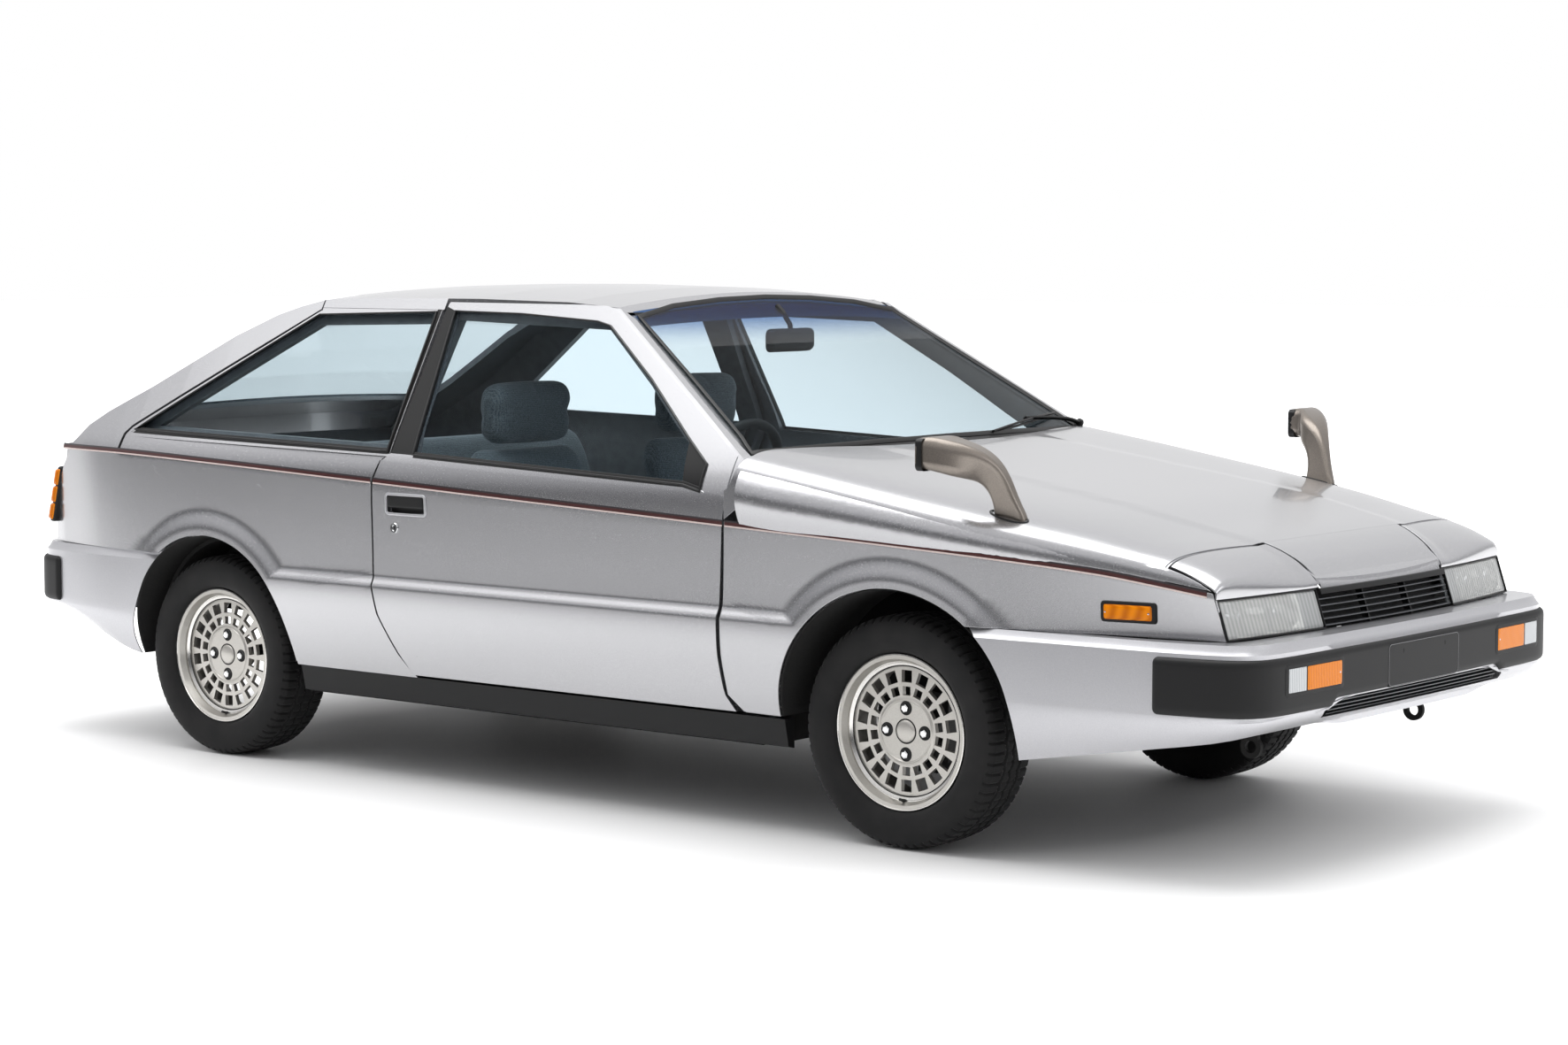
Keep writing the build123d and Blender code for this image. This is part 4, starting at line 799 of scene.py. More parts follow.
front = Bumper([(1340, 816), (1440, 813), (1560, 808), (1700, 800), (1890, 790), (2000, 774), (2062, 758),
                (2105, 732), (2131, 690), (2142, 620), (2149, 420), (2154, 200), (2155, 0)],
               [(1400, 240), (1532, 262), (1858, 314), (2000, 335), (2200, 372)], LEDGE_TOP - 1, 1, 18.0)
rear = Bumper([(-1420, 820), (-1600, 810), (-1800, 802), (-1950, 787), (-2030, 772), (-2080, 756),
               (-2115, 728), (-2134, 680), (-2145, 600), (-2152, 300), (-2154, 0)],
              [(-2200, 400), (-2016, 389), (-1775, 309), (-1684, 281), (-1560, 262)], 577.0, -1)


def bumper_side(shape, arch, z_rows, end_length, sign):
    """One side of a bumper cover: from the wheel arch's circle along the plan to end_length(z)."""
    cx, cz, radius = arch
    z = np.asarray(z_rows, float)[:, None] + np.zeros((1, 60))
    reach = np.sqrt(np.maximum(radius ** 2 - (z - cz) ** 2, 0))
    start = shape.length_at_x(cx + shape.way * reach)
    s = np.linspace(0, 1, 60)[None]
    length = start + s * (end_length(z) - start)
    floor = shape.under(shape.x(length))
    brim = shape.brim(length)
    z = np.where(z < PADS_LOW, floor + (brim - floor) * (z - COVER_LOW) / (PADS_LOW - COVER_LOW),
                 brim + (z - PADS_LOW) * (shape.top_z - brim) / (shape.top_z - PADS_LOW))
    grid = shape.at(length, z)
    return grid * (1, -sign, 1)


def whole_line(shape):
    """No intake: the cover runs to the middle at every height."""
    return lambda z: shape.total / 2 + 0 * z


def cover(name, shape, arch, slot_end, replaced):
    """Bumper cover: two sides, the middle above the intake, the lip below it, and the top shelf."""
    middle = shape.total / 2
    upper = np.r_[np.linspace(PADS_LOW, shape.top_z - 22, 10), np.linspace(shape.top_z - 16, shape.top_z, 5)]
    lower = np.linspace(COVER_LOW, PADS_LOW, 14)
    patches = []
    for sign in (-1, 1):
        patches.append(bumper_side(shape, arch, upper, whole_line(shape), sign))
        patches.append(bumper_side(shape, arch, lower, slot_end, sign))
    shelf_start = shape.length_at_x(arch[0] + shape.way * 230)
    top = np.linspace(shelf_start, shape.total - shelf_start, 160)[None]
    edge = shape.at(top, shape.top_z)
    inner = edge + 0.0
    inner[..., 0] -= shape.way * 70 * np.clip((np.abs(edge[..., 0]) - 1500) / 300, 0, 1)
    inner[..., 1] *= 1 - 30 / np.maximum(np.abs(edge[..., 1]), 420)
    patches.append(np.concatenate([edge, inner]))
    if slot_end(np.array(PADS_LOW)) < middle - 1:
        share = np.linspace(0, 1, 60)[None]
        start = slot_end(np.array(372.0))
        length = start + share * (shape.total - 2 * start) + np.zeros((5, 1))
        floor = shape.under(shape.x(length)) - 14 * ease(6 * share) * ease(6 - 6 * share)
        patches.append(shape.at(length, floor + (378 - floor) * np.linspace(0, 1, 5)[:, None]))
        patches.append(shape.at(length[:3], 378.0, -np.array([0, 12, 24.0])[:, None]))
    made = piece(name, patches, bumper_silver, "body", thick=3.0, round_mm=1.0, weld=0.4, out=(0, 0, 1))
    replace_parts(made, replaced)


def slot_line(z):
    """Where the front intake's slanted end lies along the plan, from the pads' lower edge down."""
    middle = front.total / 2
    below = np.clip((PADS_LOW - z) / 24, 0, 1)
    return middle - 310 - 140 * below


cover("front_bumper_cover", front, ARCHES[0], slot_line, "front_bumper")
cover("rear_bumper_cover", rear, ARCHES[1], whole_line(rear), "rear_bumper")


def on_plan(shape, mirror=1):
    """Turns (length, height, proud) into points on a bumper's surface."""
    def place(u, v, w):
        return shape.at(u, v, w) * (1, mirror, 1)
    return place


def pad_run(name, shape, x_side):
    """The black rubbing pad: one raised band along the bumper from side to side, 12 mm proud, with a soft
    roll along its edges and rounded ends. Its lower edge follows the brim."""
    start = float(shape.length_at_x(x_side))
    low, high = 403, 536
    u, v, w = raised(start, shape.total - start, low, high, 14, 12, 16, nu=150, nv=20)
    v = v + (shape.brim(u) - PADS_LOW) * (high - v) / (high - low)
    return piece(name, [on_plan(shape)(u, v, w)], black_plastic, "body", out=(shape.way, 0, 0), crisp=50)


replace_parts(pad_run("front_bumper_pad", front, 1888), "bumper_pads")
pad_run("rear_bumper_pad", rear, -1992)


def block_on(name, shape, sizes, finish, low, high, corner=4, roll=3, mirror=1):
    """A small raised piece on a bumper, between two lengths and two heights, from low to high proud."""
    return boss(name, on_plan(shape, mirror), (*sizes, corner, high - low, roll), low, finish, "body",
                (shape.way, 0, 0), crisp=40, base=low - high, nu=16, nv=8)


def lines_on(name, shape, u0, u1, heights, thick, low, high, finish):
    """Thin bars along a bumper at the given heights: a small box section carried along the plan."""
    patches = []
    for height in heights:
        u = np.linspace(u0, u1, 40)
        ring = [(height - thick / 2, low), (height - thick / 2, high), (height + thick / 2, high),
                (height + thick / 2, low)]
        patches.append({"grid": np.stack([shape.at(u, z, w) for z, w in ring], 1), "cols": True})
    return piece(name, patches, finish, "body", crisp=30)


# Grille bars painted grey with a light satin shine: the grey is in part a painted highlight of the light along
# their top edges.
grille_grey_and_highlight = mottle("grey_grille_enamel_painted_edge_highlight", "#55575a", "#626467", 4.0, 0.3, metallic=0.4)
half_front = front.total / 2
for side, sign in SIDES:
    # Indicator: clear third outboard and amber two thirds inboard, in a black bevelled pocket.
    for tag, start, end, heights, finish, low, high, corner, roll in (
            ("frame", -640, -384, (442, 522), black_plastic, 8, 13.4, 7, 5),
            ("clear", -628, -552, (453, 512), clear_lens, 9, 14.6, 4, 3),
            ("amber", -550, -396, (453, 512), amber, 9, 14.6, 4, 3),
            ("screw", -409, -403, (480, 486), chrome, 12, 15.4, 2.9, 2)):
        span = (half_front + start, half_front + end)
        block_on("indicator_%s_%s" % (tag, side), front, (*span, *heights), finish, low, high, corner, roll,
                 mirror=-sign)
# The plate place's outline: a pale grey line, a painted highlight where light catches the recess's edge.
plate_edge_highlight = mottle("pale_grey_painted_edge_highlight", "#6d6d6f", "#767678", 5.0, 0.5)
# Number-plate place: a shallow panel with a thin pale outline of painted highlight, and two keyhole slots for
# the plate's screws.
block_on("plate_panel", front, (half_front - 178, half_front + 178, 421, 526), black_plastic, 8, 12.4, 9)
for shift in (-105, 105):
    block_on("plate_slot_" + side_title(shift), front,
             (half_front + shift - 3.5, half_front + shift + 3.5, 498, 511), underseal, 10, 12.6, 3.4, 1)
path = rounded(352, 99, 12, 6) + (half_front, 474)
bead("plate_outline", front.at(path[:, 0], path[:, 1], 12.2), (1.6, 1.6, 0.7, 2), (1, 0, 0), plate_edge_highlight,
     "body")
# Intake slats in the same grey, partly a painted highlight along their edges.
lines_on("intake_slats", front, half_front - 425, half_front + 425, (384, 393, 402, 411), 2.0, -26, -6,
         grille_grey_and_highlight)
u, v, w = raised(half_front - 450, half_front + 450, 366, 425, 3, 1, 2, nu=60, nv=6)
piece("intake_back", [front.at(u, v, w - 26)], underseal, "body", out=(1, 0, 0))

LAMP_TOP = 660.0


def front_lamp(side, sign):
    """Headlamp: a fluted clear lens over the nose, an aluminised bowl and a grey inner end behind it, and the
    black surround. Across is |y|, up is z, out is ahead of the nose's surface."""
    def place(u, v, w):
        return np.stack([nose_x(u, v) + w, sign * u, v], -1)

    ahead = (1, 0, 0)
    lens = boss("headlamp_lens_" + side, place, (322, 694, 573, LAMP_TOP, 5, 4, 6), -6, lamp_lens, "body",
                ahead, nu=60, nv=14, base=-6)
    a, b = np.meshgrid(np.linspace(-1, 1, 60), np.linspace(-1, 1, 24), indexing="ij")
    hollow = -62 + 44 * np.clip(b * b + np.abs(a) ** 5, 0, 1.05) - 6 * np.cos(a * 9)
    piece("headlamp_bowl_" + side, [place(540 + a * 148, 616.5 + b * 42, hollow)], lamp_bowl, "body",
          out=ahead, thick=1.5)
    for tag, y0 in (("inner", 474.0), ("outer", 606.0)):
        turned("headlamp_bulb_%s_%s" % (tag, side), [(0, 30), (10, 28), (14, 20), (15, 2), (24, -4)],
               place(*np.array((y0, 617.0, -58.0))), ahead, 24, chrome, "body", out=ahead)
    boss("headlamp_grey_end_" + side, place, (322, 388, 573, LAMP_TOP, 4, 2, 4), -16, lamp_grey, "body",
         ahead, nu=8, nv=8)
    boss("headlamp_back_" + side, place, (316, 700, 567, LAMP_TOP + 3, 4, 1, 2), -70, satin_black, "body",
         ahead, nu=30, nv=6, base=-2)
    rim = [(321, 572), (696, 572), (696, LAMP_TOP + 1), (321, LAMP_TOP + 1), (321, 572)]
    path = trace(rim, [20, 6, 20, 6])[:-1]
    bead("headlamp_rim_" + side, place(path[:, 0], path[:, 1], -3.0), (3.4, 8, 1.2), ahead, satin_black,
         "body")
    return lens


# Painted inner end of the lamp: satin grey, half metallic.
lamp_grey = mottle("satin_grey_reflector_paint", "#6c7073", "#777b7e", 5.0, 0.35, metallic=0.4)
# Vacuum-aluminised reflector: satin bright, a little warm.
lamp_bowl = mottle("aluminised_reflector", "#d6d5d1", "#e2e1dd", 9.0, 0.3, metallic=0.7)
# Fluted pressed glass over the lamp: pale and glossy, the bowl behind it broken up.
lamp_lens = moulded_lens("fluted_headlamp_glass", "#f2f3f2", "#d6d9d9", 7.0)
wire(lamp_lens.node_tree.nodes["Principled BSDF"],
     {"Transmission Weight": 0.6, "Roughness": 0.12, "IOR": 1.2, "Coat Weight": 0.6})
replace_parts(front_lamp("right", -1), "headlamps")
front_lamp("left", 1)


def grille_bars():
    """Radiator grille: a black back, and five thin grey bars over it whose ends reach to the lamps; their grey
    is partly a painted edge highlight.
    """
    y = np.linspace(-318, 318, 60)
    patches = []
    for z in (577, 592, 607, 622, 637):
        ring = [(z - 1.2, -20), (z - 1.2, -4), (z + 1.2, -4), (z + 1.2, -20)]
        bar = np.stack([np.stack([nose_x(y, h) + w, y, h + 0 * y], -1) for h, w in ring], 1)
        patches.append({"grid": bar, "cols": True})
    piece("grille_bars", patches, grille_grey_and_highlight, "body", crisp=30)
    def place(u, v, w):
        return np.stack([nose_x(u, v) + w, u, v], -1)

    back = boss("grille_back", place, (-321, 321, 562, 652, 3, 1, 2), -46, underseal, "body", (1, 0, 0),
                nu=30, nv=6, base=-1)
    for y0 in (-105, 105):
        post = np.stack([np.stack([nose_x(y0, h) + w, y0 + t, h], -1) for h, w, t in
                         ((570, -28, -3), (570, -10, -3), (570, -10, 3), (570, -28, 3))])
        top = post + (nose_x(y0, 648) - nose_x(y0, 570), 0, 78)
        piece("grille_post_" + side_title(y0), [{"grid": np.stack([post, top]), "cols": True}], satin_black,
              "body", crisp=30)
    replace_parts(back, "grille")
    boss("bonnet_edge_strip", place, (-312, 312, 649, 663, 2, 2, 2), 5.2, satin_black, "bonnet", (1, 0, 0),
         base=-3, nu=60, nv=6)


grille_bars()


def side_marker(side, sign):
    """Side marker: an amber block with rounded ends in a black frame, two screws, on the wing."""
    def place(u, v, w):
        return np.stack([u, sign * (side_y(u, v) + SKIN + w), v], -1)

    out = (0, sign, 0)
    frame_piece = boss("side_marker_frame_" + side, place, (1712, 1850, 600, 650, 8, 7, 5), 0, black_plastic,
                       "body", out, nu=20, nv=8)
    boss("side_marker_lens_" + side, place, (1722, 1840, 607, 643, 5, 6, 4), 5, amber, "body", out,
         nu=20, nv=8)
    for x in (1728, 1834):
        turned("side_marker_screw_%s_%d" % (side, x), [(0, 2), (2.2, 1.5), (2.6, 0)],
               place(*np.array((x, 625.0, 11.0))), out, 12, chrome, "body", out=out)
    return frame_piece


def tail_lamp(side, sign):
    """Tail lamp: three stacked blocks round the rear corner, amber on the side and red across the tail, with
    a clear reversing block inboard, in a black frame."""
    corner = np.array([(-2026, 748), (-2044, 742), (-2056, 728), (-2059, 700), (-2059, 560), (-2060, 380)],
                      float)
    length = np.r_[0, np.cumsum(np.hypot(*np.diff(corner, axis=0).T))]
    px, py = run(*zip(length, corner[:, 0])), run(*zip(length, corner[:, 1]))

    def place(u, v, w):
        dx, dy = px(u + 1) - px(u - 1), py(u + 1) - py(u - 1)
        size = np.hypot(dx, dy)
        return np.stack([px(u) + w * dy / size + 0.25 * (v - 720), sign * (py(u) - w * dx / size), v], -1)

    back = (-1, 0, 0)
    boss("tail_lamp_frame_" + side, place, (-4, length[-1] + 6, 636, 803, 8, 6, 5), 0, black_plastic, "body",
         back, nu=70, nv=16, base=-14)
    for row, z0 in enumerate((643, 695, 747)):
        for tag, u0, u1, finish in (("amber", 0, 62, amber), ("red", 65, 300, red_lens),
                                    ("clear", 303, length[-1], clear_lens)):
            boss("tail_lamp_%s_%d_%s" % (tag, row, side), place, (u0, u1, z0, z0 + 49, 5, 9, 8), 4, finish,
                 "body", back, nu=40)


for side, sign in SIDES:
    markers = side_marker(side, sign)
    tail_lamp(side, sign)
    if sign < 0:
        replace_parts(markers, "signal_lamps")


# ---- Glazing, pillars, mirrors, handles -------------------------------------------------------
DOOR_WINDOW = [(-501, 1288), (-250, 1284), (32, 1268), (82, 1257), (286, 1124), (474, 984), (563, 921),
               (559, 855), (501, 868), (-463, 903), (-501, 1288)]


def moulding(name, keys, steps, sign, body, width):
    """Rubber moulding round a window: a rounded section carried along the window's edge on the body side."""
    path = on_side(trace(keys, steps)[:-1], sign, SKIN - 1.0)
    bead(name, path, (5, width, 1.6, 2), (0, 1, 0), black_rubber, body, crisp=50)


def screen_at(y, z, lift):
    """Point on the windscreen's surface, moved out along its normal by lift."""
    x = screen_x(y, z)
    size = math.hypot(1, SCREEN_RUN)
    return np.stack(np.broadcast_arrays(x + lift / size, y, z + lift * SCREEN_RUN / size), -1)


def side_patch(name, left, right, sign, lift, finish, body, rows=24):
    """Patch on the body side between two lines of (x, z) points, thickened inwards."""
    grid = between(trace(left, rows // (len(left) - 1)), trace(right, rows // (len(right) - 1)),
                   np.linspace(0, 1, 6))
    return piece(name, [on_side(grid, sign, lift)], finish, body, out=(0, sign, 0), thick=3.0, round_mm=0.8)


def door_handle(side, sign, door):
    """Door handle and lock: a black dished recess with a pale lip, the lifting flap over its upper part, and
    a turned lock with its key slot."""
    x0, x1, z0, z1 = HANDLE
    out = (0, sign, 0)

    def place(u, v, w):
        return np.stack([u, sign * (side_y(u, v) + SKIN + w), v], -1)

    boss("handle_cup_" + side, place, (x0 + 2, x1 - 2, z0 + 2, z1 - 2, 9, 0.5, 2), -18, satin_black, door,
         out, base=-3)
    path = rounded(x1 - x0, z1 - z0, 9, 5) + ((x0 + x1) / 2, (z0 + z1) / 2)
    bead("handle_rim_" + side, place(path[:, 0], path[:, 1], 0.0 * path[:, 0]), (8.0, 6, 2.5, 3), (0, 1, 0),
         bumper_silver, door)
    boss("handle_flap_" + side, place, (x0 + 5, x1 - 5, z0 + 17, z1 - 3, 6, 6, 5), -3, black_plastic, door,
         out, base=-10)
    turned("door_lock_" + side, [(0, 1.0), (8, 1.0), (9, 4.0), (13, 4.0), (14.5, 2.2), (14.5, -2)],
           place(*np.array((-523.0, 703.0, 0.0))), out, 32, chrome, door, out=out)
    boss("door_lock_slot_" + side, place, (-524.2, -521.8, 698.5, 707.5, 1, 0.6, 0.5), 1.9, satin_black, door,
         out, base=-0.6, nu=4, nv=6)


for side, sign in SIDES:
    door = "door_" + side
    moulding("door_window_moulding_" + side, DOOR_WINDOW, [10, 10, 4, 10, 10, 6, 5, 6, 40, 16], sign, door, 13)
    moulding("quarter_window_moulding_" + side, QUARTER_WINDOW, QUARTER_STEPS, sign, "body", 15)
    # Weather strips along the waist under each window, wider than the rest of the moulding; the satin black
    # centre pillar, half on the door's frame and half on the quarter; the sail at the door glass's corner.
    for tag, left, right, lift, finish, rows in (
            ("door_waist_strip_", [(-463, 896), (501, 861), (559, 849)], [(-463, 912), (501, 877), (558, 864)],
             1.6, black_rubber, 40),
            ("quarter_waist_strip_", [(-563, 902), (-1630, 922)], [(-563, 918), (-1606, 938)],
             1.6, black_rubber, 40),
            ("door_pillar_", [(-549, 905), (-537, 1300)], [(-461, 903), (-499, 1288)], 1.2, satin_black, 24),
            ("quarter_pillar_", [(-571, 903), (-571, 1292)], [(-556, 903), (-556, 1292)], 1.2, satin_black, 24),
            ("door_sail_", [(478, 979), (497, 868)], [(561, 919), (558, 854)], -2.0, satin_black, 24)):
        body = door if tag.startswith("door") else "body"
        side_patch(tag + side, left, right, sign, SKIN + lift, finish, body, rows)
    door_handle(side, sign, door)

# Windscreen: its black edge moulding, and the blue band across the top of the glass.
half_edge = [(-742, 947), (-712, 985), (-640, 1120), (-560, 1278), (-400, 1304), (-200, 1318), (0, 1323)]
foot = [(600, 951), (300, 957), (0, 959), (-300, 957), (-600, 951), (-742, 947)]
edge = half_edge + [(-y, z) for y, z in half_edge[-2::-1]] + foot
path = trace(edge, 5)[:-1]
bead("windscreen_moulding", screen_at(path[:, 0], path[:, 1], 3.0), (15, 5, 2, 2), (1, 0, 0.58), black_rubber,
     "body", crisp=50)
cols = np.linspace(-1, 1, 40)[None]
low = 1204 - 6 * cols**2
high = 1318 - 26 * np.abs(cols) ** 2.2
z = low + np.linspace(0, 1, 8)[:, None] * (high - low)
y = cols * (566 - (z - 1278) * 0.5)
# Black strip at the glass's foot, bowed like the cowl.
cowl_z = np.linspace(930, 953, 6)[:, None] - 8 * np.linspace(-1, 1, 60)[None] ** 2
piece("cowl_strip", [screen_at(np.linspace(-735, 735, 60)[None], cowl_z, 2.2)], satin_black, "body",
      out=(1, 0, 0.5))
piece("screen_shade_band", [screen_at(y, z, 1.6)], shade_band, "body", out=(1, 0, 0.5))


def rear_view_mirror():
    """Interior mirror: a rounded black case with its glass, on a ball stem from the header."""
    def place(u, v, w):
        return np.stack([196 - w + 0 * u, u, 1208 + v - 0.12 * w], -1)
    u, v, w = raised(-98, 98, -32, 32, 18, 16, 14, base=-8)
    piece("cabin_mirror_case", [place(u, v, -w)], black_plastic, "body")
    boss("cabin_mirror_glass", place, (-92, 92, -27, 27, 15, 1, 2), 9, mirror_glass, "body", (-1, 0, 0),
         base=-1)
    stem = trace([(200, 0, 1216), (196, 0, 1250), (172, 0, 1282), (150, 0, 1302)], 6)
    bead("cabin_mirror_stem", stem, (14, 14, 6.5, 3), (0, 1, 0), black_plastic, "body", closed=False)


def wing_mirror_trim(side, sign):
    """Trim of a wing mirror: the glass in a black band facing back, and a rubber gasket under the foot."""
    def place(u, v, w):
        return np.stack([1306 - w, sign * u, v], -1)
    for tag, sizes, lift, finish, base in (
            ("band", (806, 925, 941.5, 1018.5, 12, 3, 5), 0, satin_black, -18),
            ("glass", (812, 919, 947, 1013, 9, 1, 2), 3.4, mirror_glass, -1)):
        boss("wing_mirror_%s_%s" % (tag, side), place, sizes, lift, finish, "bonnet", (-1, 0, 0), base=base,
             nu=20, nv=20)
    a = np.linspace(0, 2 * math.pi, 40, endpoint=False)
    x, y = 1445 + 52 * np.cos(a), 736 + 20 * np.sin(a) + 2
    z = bonnet_at(x, y) + SKIN + 1
    bead("wing_mirror_gasket_" + side, np.stack([x, sign * y, z], -1), (6, 5, 2, 2), (0, 0, 1), black_rubber,
         "bonnet")


def wiper(name, pivot, elbow, tip_low, tip_high, place, body):
    """Wiper: a tapered arm from its pivot to the blade's middle, a bowed blade frame and its rubber edge."""
    pivot, elbow, tip_low, tip_high = (np.array(p, float) for p in (pivot, elbow, tip_low, tip_high))
    arm = trace([pivot, pivot + (elbow - pivot) * 0.3, elbow], 10)
    blade = trace([tip_low, (tip_low + tip_high) / 2, tip_high], 16)
    for tag, line, lift, rise, size, finish in (
            ("_arm", arm, 14, 10, (7, 13, 2.5, 2), satin_black),
            ("_blade", blade, 9, 8, (6, 7, 2, 2), satin_black),
            ("_rubber", blade, 5, 0, (7, 4, 1, 2), black_rubber)):
        bow = lift + rise * np.sin(np.linspace(0, math.pi, len(line)))
        bead(name + tag, place(line[:, 0], line[:, 1], bow), size, (1, 0, 0.6), finish, body, closed=False)
    turned(name + "_pivot", [(0, 22), (8, 21), (11, 16), (12, 6), (14, 0), (14, -12)],
           place(*np.array((*pivot, 4.0))), (0.5, 0, 0.86), 24, satin_black, body)


wiper("front_wiper", (742, 950), (452, 977), (216, 957), (688, 985), screen_at, "body")
rear_view_mirror()
for side, sign in SIDES:
    wing_mirror_trim(side, sign)


# ---- Wheels and tyres -------------------------------------------------------------------------
# The tyre's radius; how far out the wheel's flat face and its lip lie; and the axles' x, y and z.
TYRE_RADIUS = 287.6
WHEEL_FACE, WHEEL_LIP = 731, 756
AXLES = (("front", 1138), ("rear", -1302))
HUB_Y, HUB_Z = 681, 288


def tyre(name, centre, body, replaced):
    """Road tyre: a section round the axle, with three wavy grooves 7 mm deep round the tread, 68 sipes across
    each shoulder, both cosines of the angle, and two fine raised rings on the side wall."""
    side = [(194, 68), (199, 79), (205, 84), (214, 88.5), (224, 91), (236, 92.3), (246, 92.5), (256, 91.6),
            (265, 89.5), (272, 86.5), (277, 83), (281, 78.5), (283.8, 73)]
    half = np.array(side, float)
    across = np.linspace(72, -72, 49)
    crown = TYRE_RADIUS - 3.2 * (np.abs(across) / 73) ** 2.6
    profile = np.concatenate([half, np.stack([crown, across], -1), (half * (1, -1))[::-1]])
    turn = np.linspace(0, 2 * math.pi, 340, endpoint=False)
    at_radius = profile[:, :1]
    radius = at_radius + 0 * turn
    offset = profile[:, 1:] + 0 * turn
    wave = 3.0 * np.cos(turn * 34)
    for middle in (-31, 0, 31):
        groove = np.clip(1 - np.abs(offset - middle - wave[None] * np.sign(middle + 0.5)) / 4.2, 0, 1)
        radius -= np.where(at_radius > 280, 7 * ease(groove * 2.2), 0)
    cut = (np.cos(turn * 68)[None] > 0.72) & (np.abs(offset) > 40) & (at_radius > 274)
    radius -= np.where(cut, 5.0, 0)
    fine = (np.cos(turn * 136)[None] > 0.9) & (np.abs(offset) < 25) & (at_radius > 280)
    radius -= np.where(fine, 2.5, 0)
    ridge = np.exp(-((at_radius - 262) / 1.6) ** 2) + np.exp(-((at_radius - 208) / 1.8) ** 2)
    offset = offset + np.sign(offset) * np.where(np.abs(offset) > 80, 1.0 * ridge, 0)
    grid = centre + np.stack([radius * np.cos(turn), offset, radius * np.sin(turn)], -1)
    made = piece(name, [{"grid": grid, "cols": True}], tyre_black, body, crisp=28, weld=0.001)
    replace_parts(made, replaced)
    return made


def wheel_trim(name, centre, sign, body):
    """What is fixed to a cast wheel: the polished stepped lip, the ring round the flat centre, four nuts in
    dark pockets, the plain cap and the valve."""
    axis = (0, sign, 0)
    centre = np.array(centre, float)
    face, lip = WHEEL_FACE - abs(centre[1]), WHEEL_LIP - abs(centre[1])
    for tag, turns, finish, profile in (
            ("lip", 96, polished_lip, ((186, lip - 16), (187.5, lip - 2), (189.5, lip + 1.2),
                                       (192.2, lip + 0.8), (193.5, lip - 2), (193.5, lip - 8))),
            ("step", 96, polished_lip, ((183, lip - 14), (176, lip - 20), (170, lip - 23), (169, face + 3.0),
                                        (163, face + 0.2), (162, face - 2))),
            ("groove", 96, satin_black, ((162.5, face + 0.6), (161.2, face + 1.0), (159.8, face + 0.6))),
            ("centre_ring", 72, alloy, ((79, face + 0.2), (77.6, face + 1.6), (75.4, face + 1.6),
                                        (74, face + 0.2))),
            ("cap", 48, alloy, ((0, face + 5.0), (20, face + 4.6), (25, face + 3.4), (27.6, face + 1.6),
                                (28.6, face - 1))),
            ("cap_ring", 48, satin_black, ((27.8, face + 0.4), (30.0, face + 1.2), (31.4, face + 0.2)))):
        turned("%s_%s" % (name, tag), profile, centre, axis, turns, finish, body)
    for quarter in range(4):
        a = quarter * math.pi / 2
        spot = centre + (57 * math.sin(a), sign * face, 57 * math.cos(a))
        turned("%s_nut_pocket_%d" % (name, quarter), [(0, 0.5), (15.5, 0.5), (17, 1.4), (18, 0.2)], spot,
               axis, 32, satin_black, body)
        turned("%s_nut_%d" % (name, quarter), [(0, 9), (7.5, 9), (10.5, 7), (10.5, 0)], spot, axis, 6, chrome,
               body, start=0.3, crisp=20)
    turned(name + "_valve", [(0, 20), (3.4, 20), (3.6, 6), (5.2, 2), (5.2, -4)],
           centre + (0, sign * (face + 6), -171), (0, sign, 0.35), 16, black_rubber, body)


for end, hub_x in AXLES:
    for side, sign in SIDES:
        centre = (hub_x, sign * HUB_Y, HUB_Z)
        title, body = "%s_%s" % (end, side), "wheel_%s_%s" % (end, side)
        tyre("tread_" + title, centre, body, "tyre_" + title)
        wheel_trim("wheel_" + title, centre, sign, body)


# ---- Cabin ------------------------------------------------------------------------------------


# The remesh's voxel in mm for a cushion whose half width is under each limit.
VOXELS = ((200, 8.0), (400, 11.0), (math.inf, 14.0))
FRAMES = 20


def soft_block(name, outline, half, centre_y, corner, body, cloth, swell_mm, joint_rows=14):
    """A stuffed cushion: a side outline (x, z) carried across y between rounded cheeks, blown up by a cloth
    simulation with inner pressure, its movement held within a few millimetres, then smoothed once."""
    outline = np.asarray(outline, float)
    count = 72
    steps = np.linalg.norm(np.diff(np.vstack([outline, outline[:1]]), axis=0), axis=1)
    where = np.r_[0, np.cumsum(steps)]
    s = np.linspace(0, where[-1], count, endpoint=False)
    loop = np.vstack([outline, outline[:1]])
    line = np.stack([np.interp(s, where, loop[:, 0]), np.interp(s, where, loop[:, 1])], -1)
    for _ in range(5):
        line = (np.roll(line, 1, 0) + 2 * line + np.roll(line, -1, 0)) / 4
    middle = line.mean(0)
    t = np.linspace(-1, 1, joint_rows * 2 + 1)
    pinch = np.sqrt(np.maximum(1 - np.maximum((np.abs(t) * half - (half - corner)) / corner, 0) ** 2, 0))
    spread = np.linalg.norm(line - middle, axis=1, keepdims=True)
    rows = []
    for tk, pk in zip(t, pinch):
        shrunk = middle + (line - middle) * (1 - (1 - pk) * np.minimum(corner / spread, 0.9))
        rows.append(np.c_[shrunk[:, 0], np.full(count, centre_y + tk * half), shrunk[:, 1]])
    grid = np.stack(rows)
    cap = [np.broadcast_to(grid[k].mean(0), grid[:1].shape) for k in (0, -1)]
    made = piece(name, [{"grid": np.concatenate([cap[0], grid, cap[1]]), "cols": True}], cloth, body, crisp=80)
    swell(made, swell_mm, next(voxel for limit, voxel in VOXELS if half < limit))
    return made


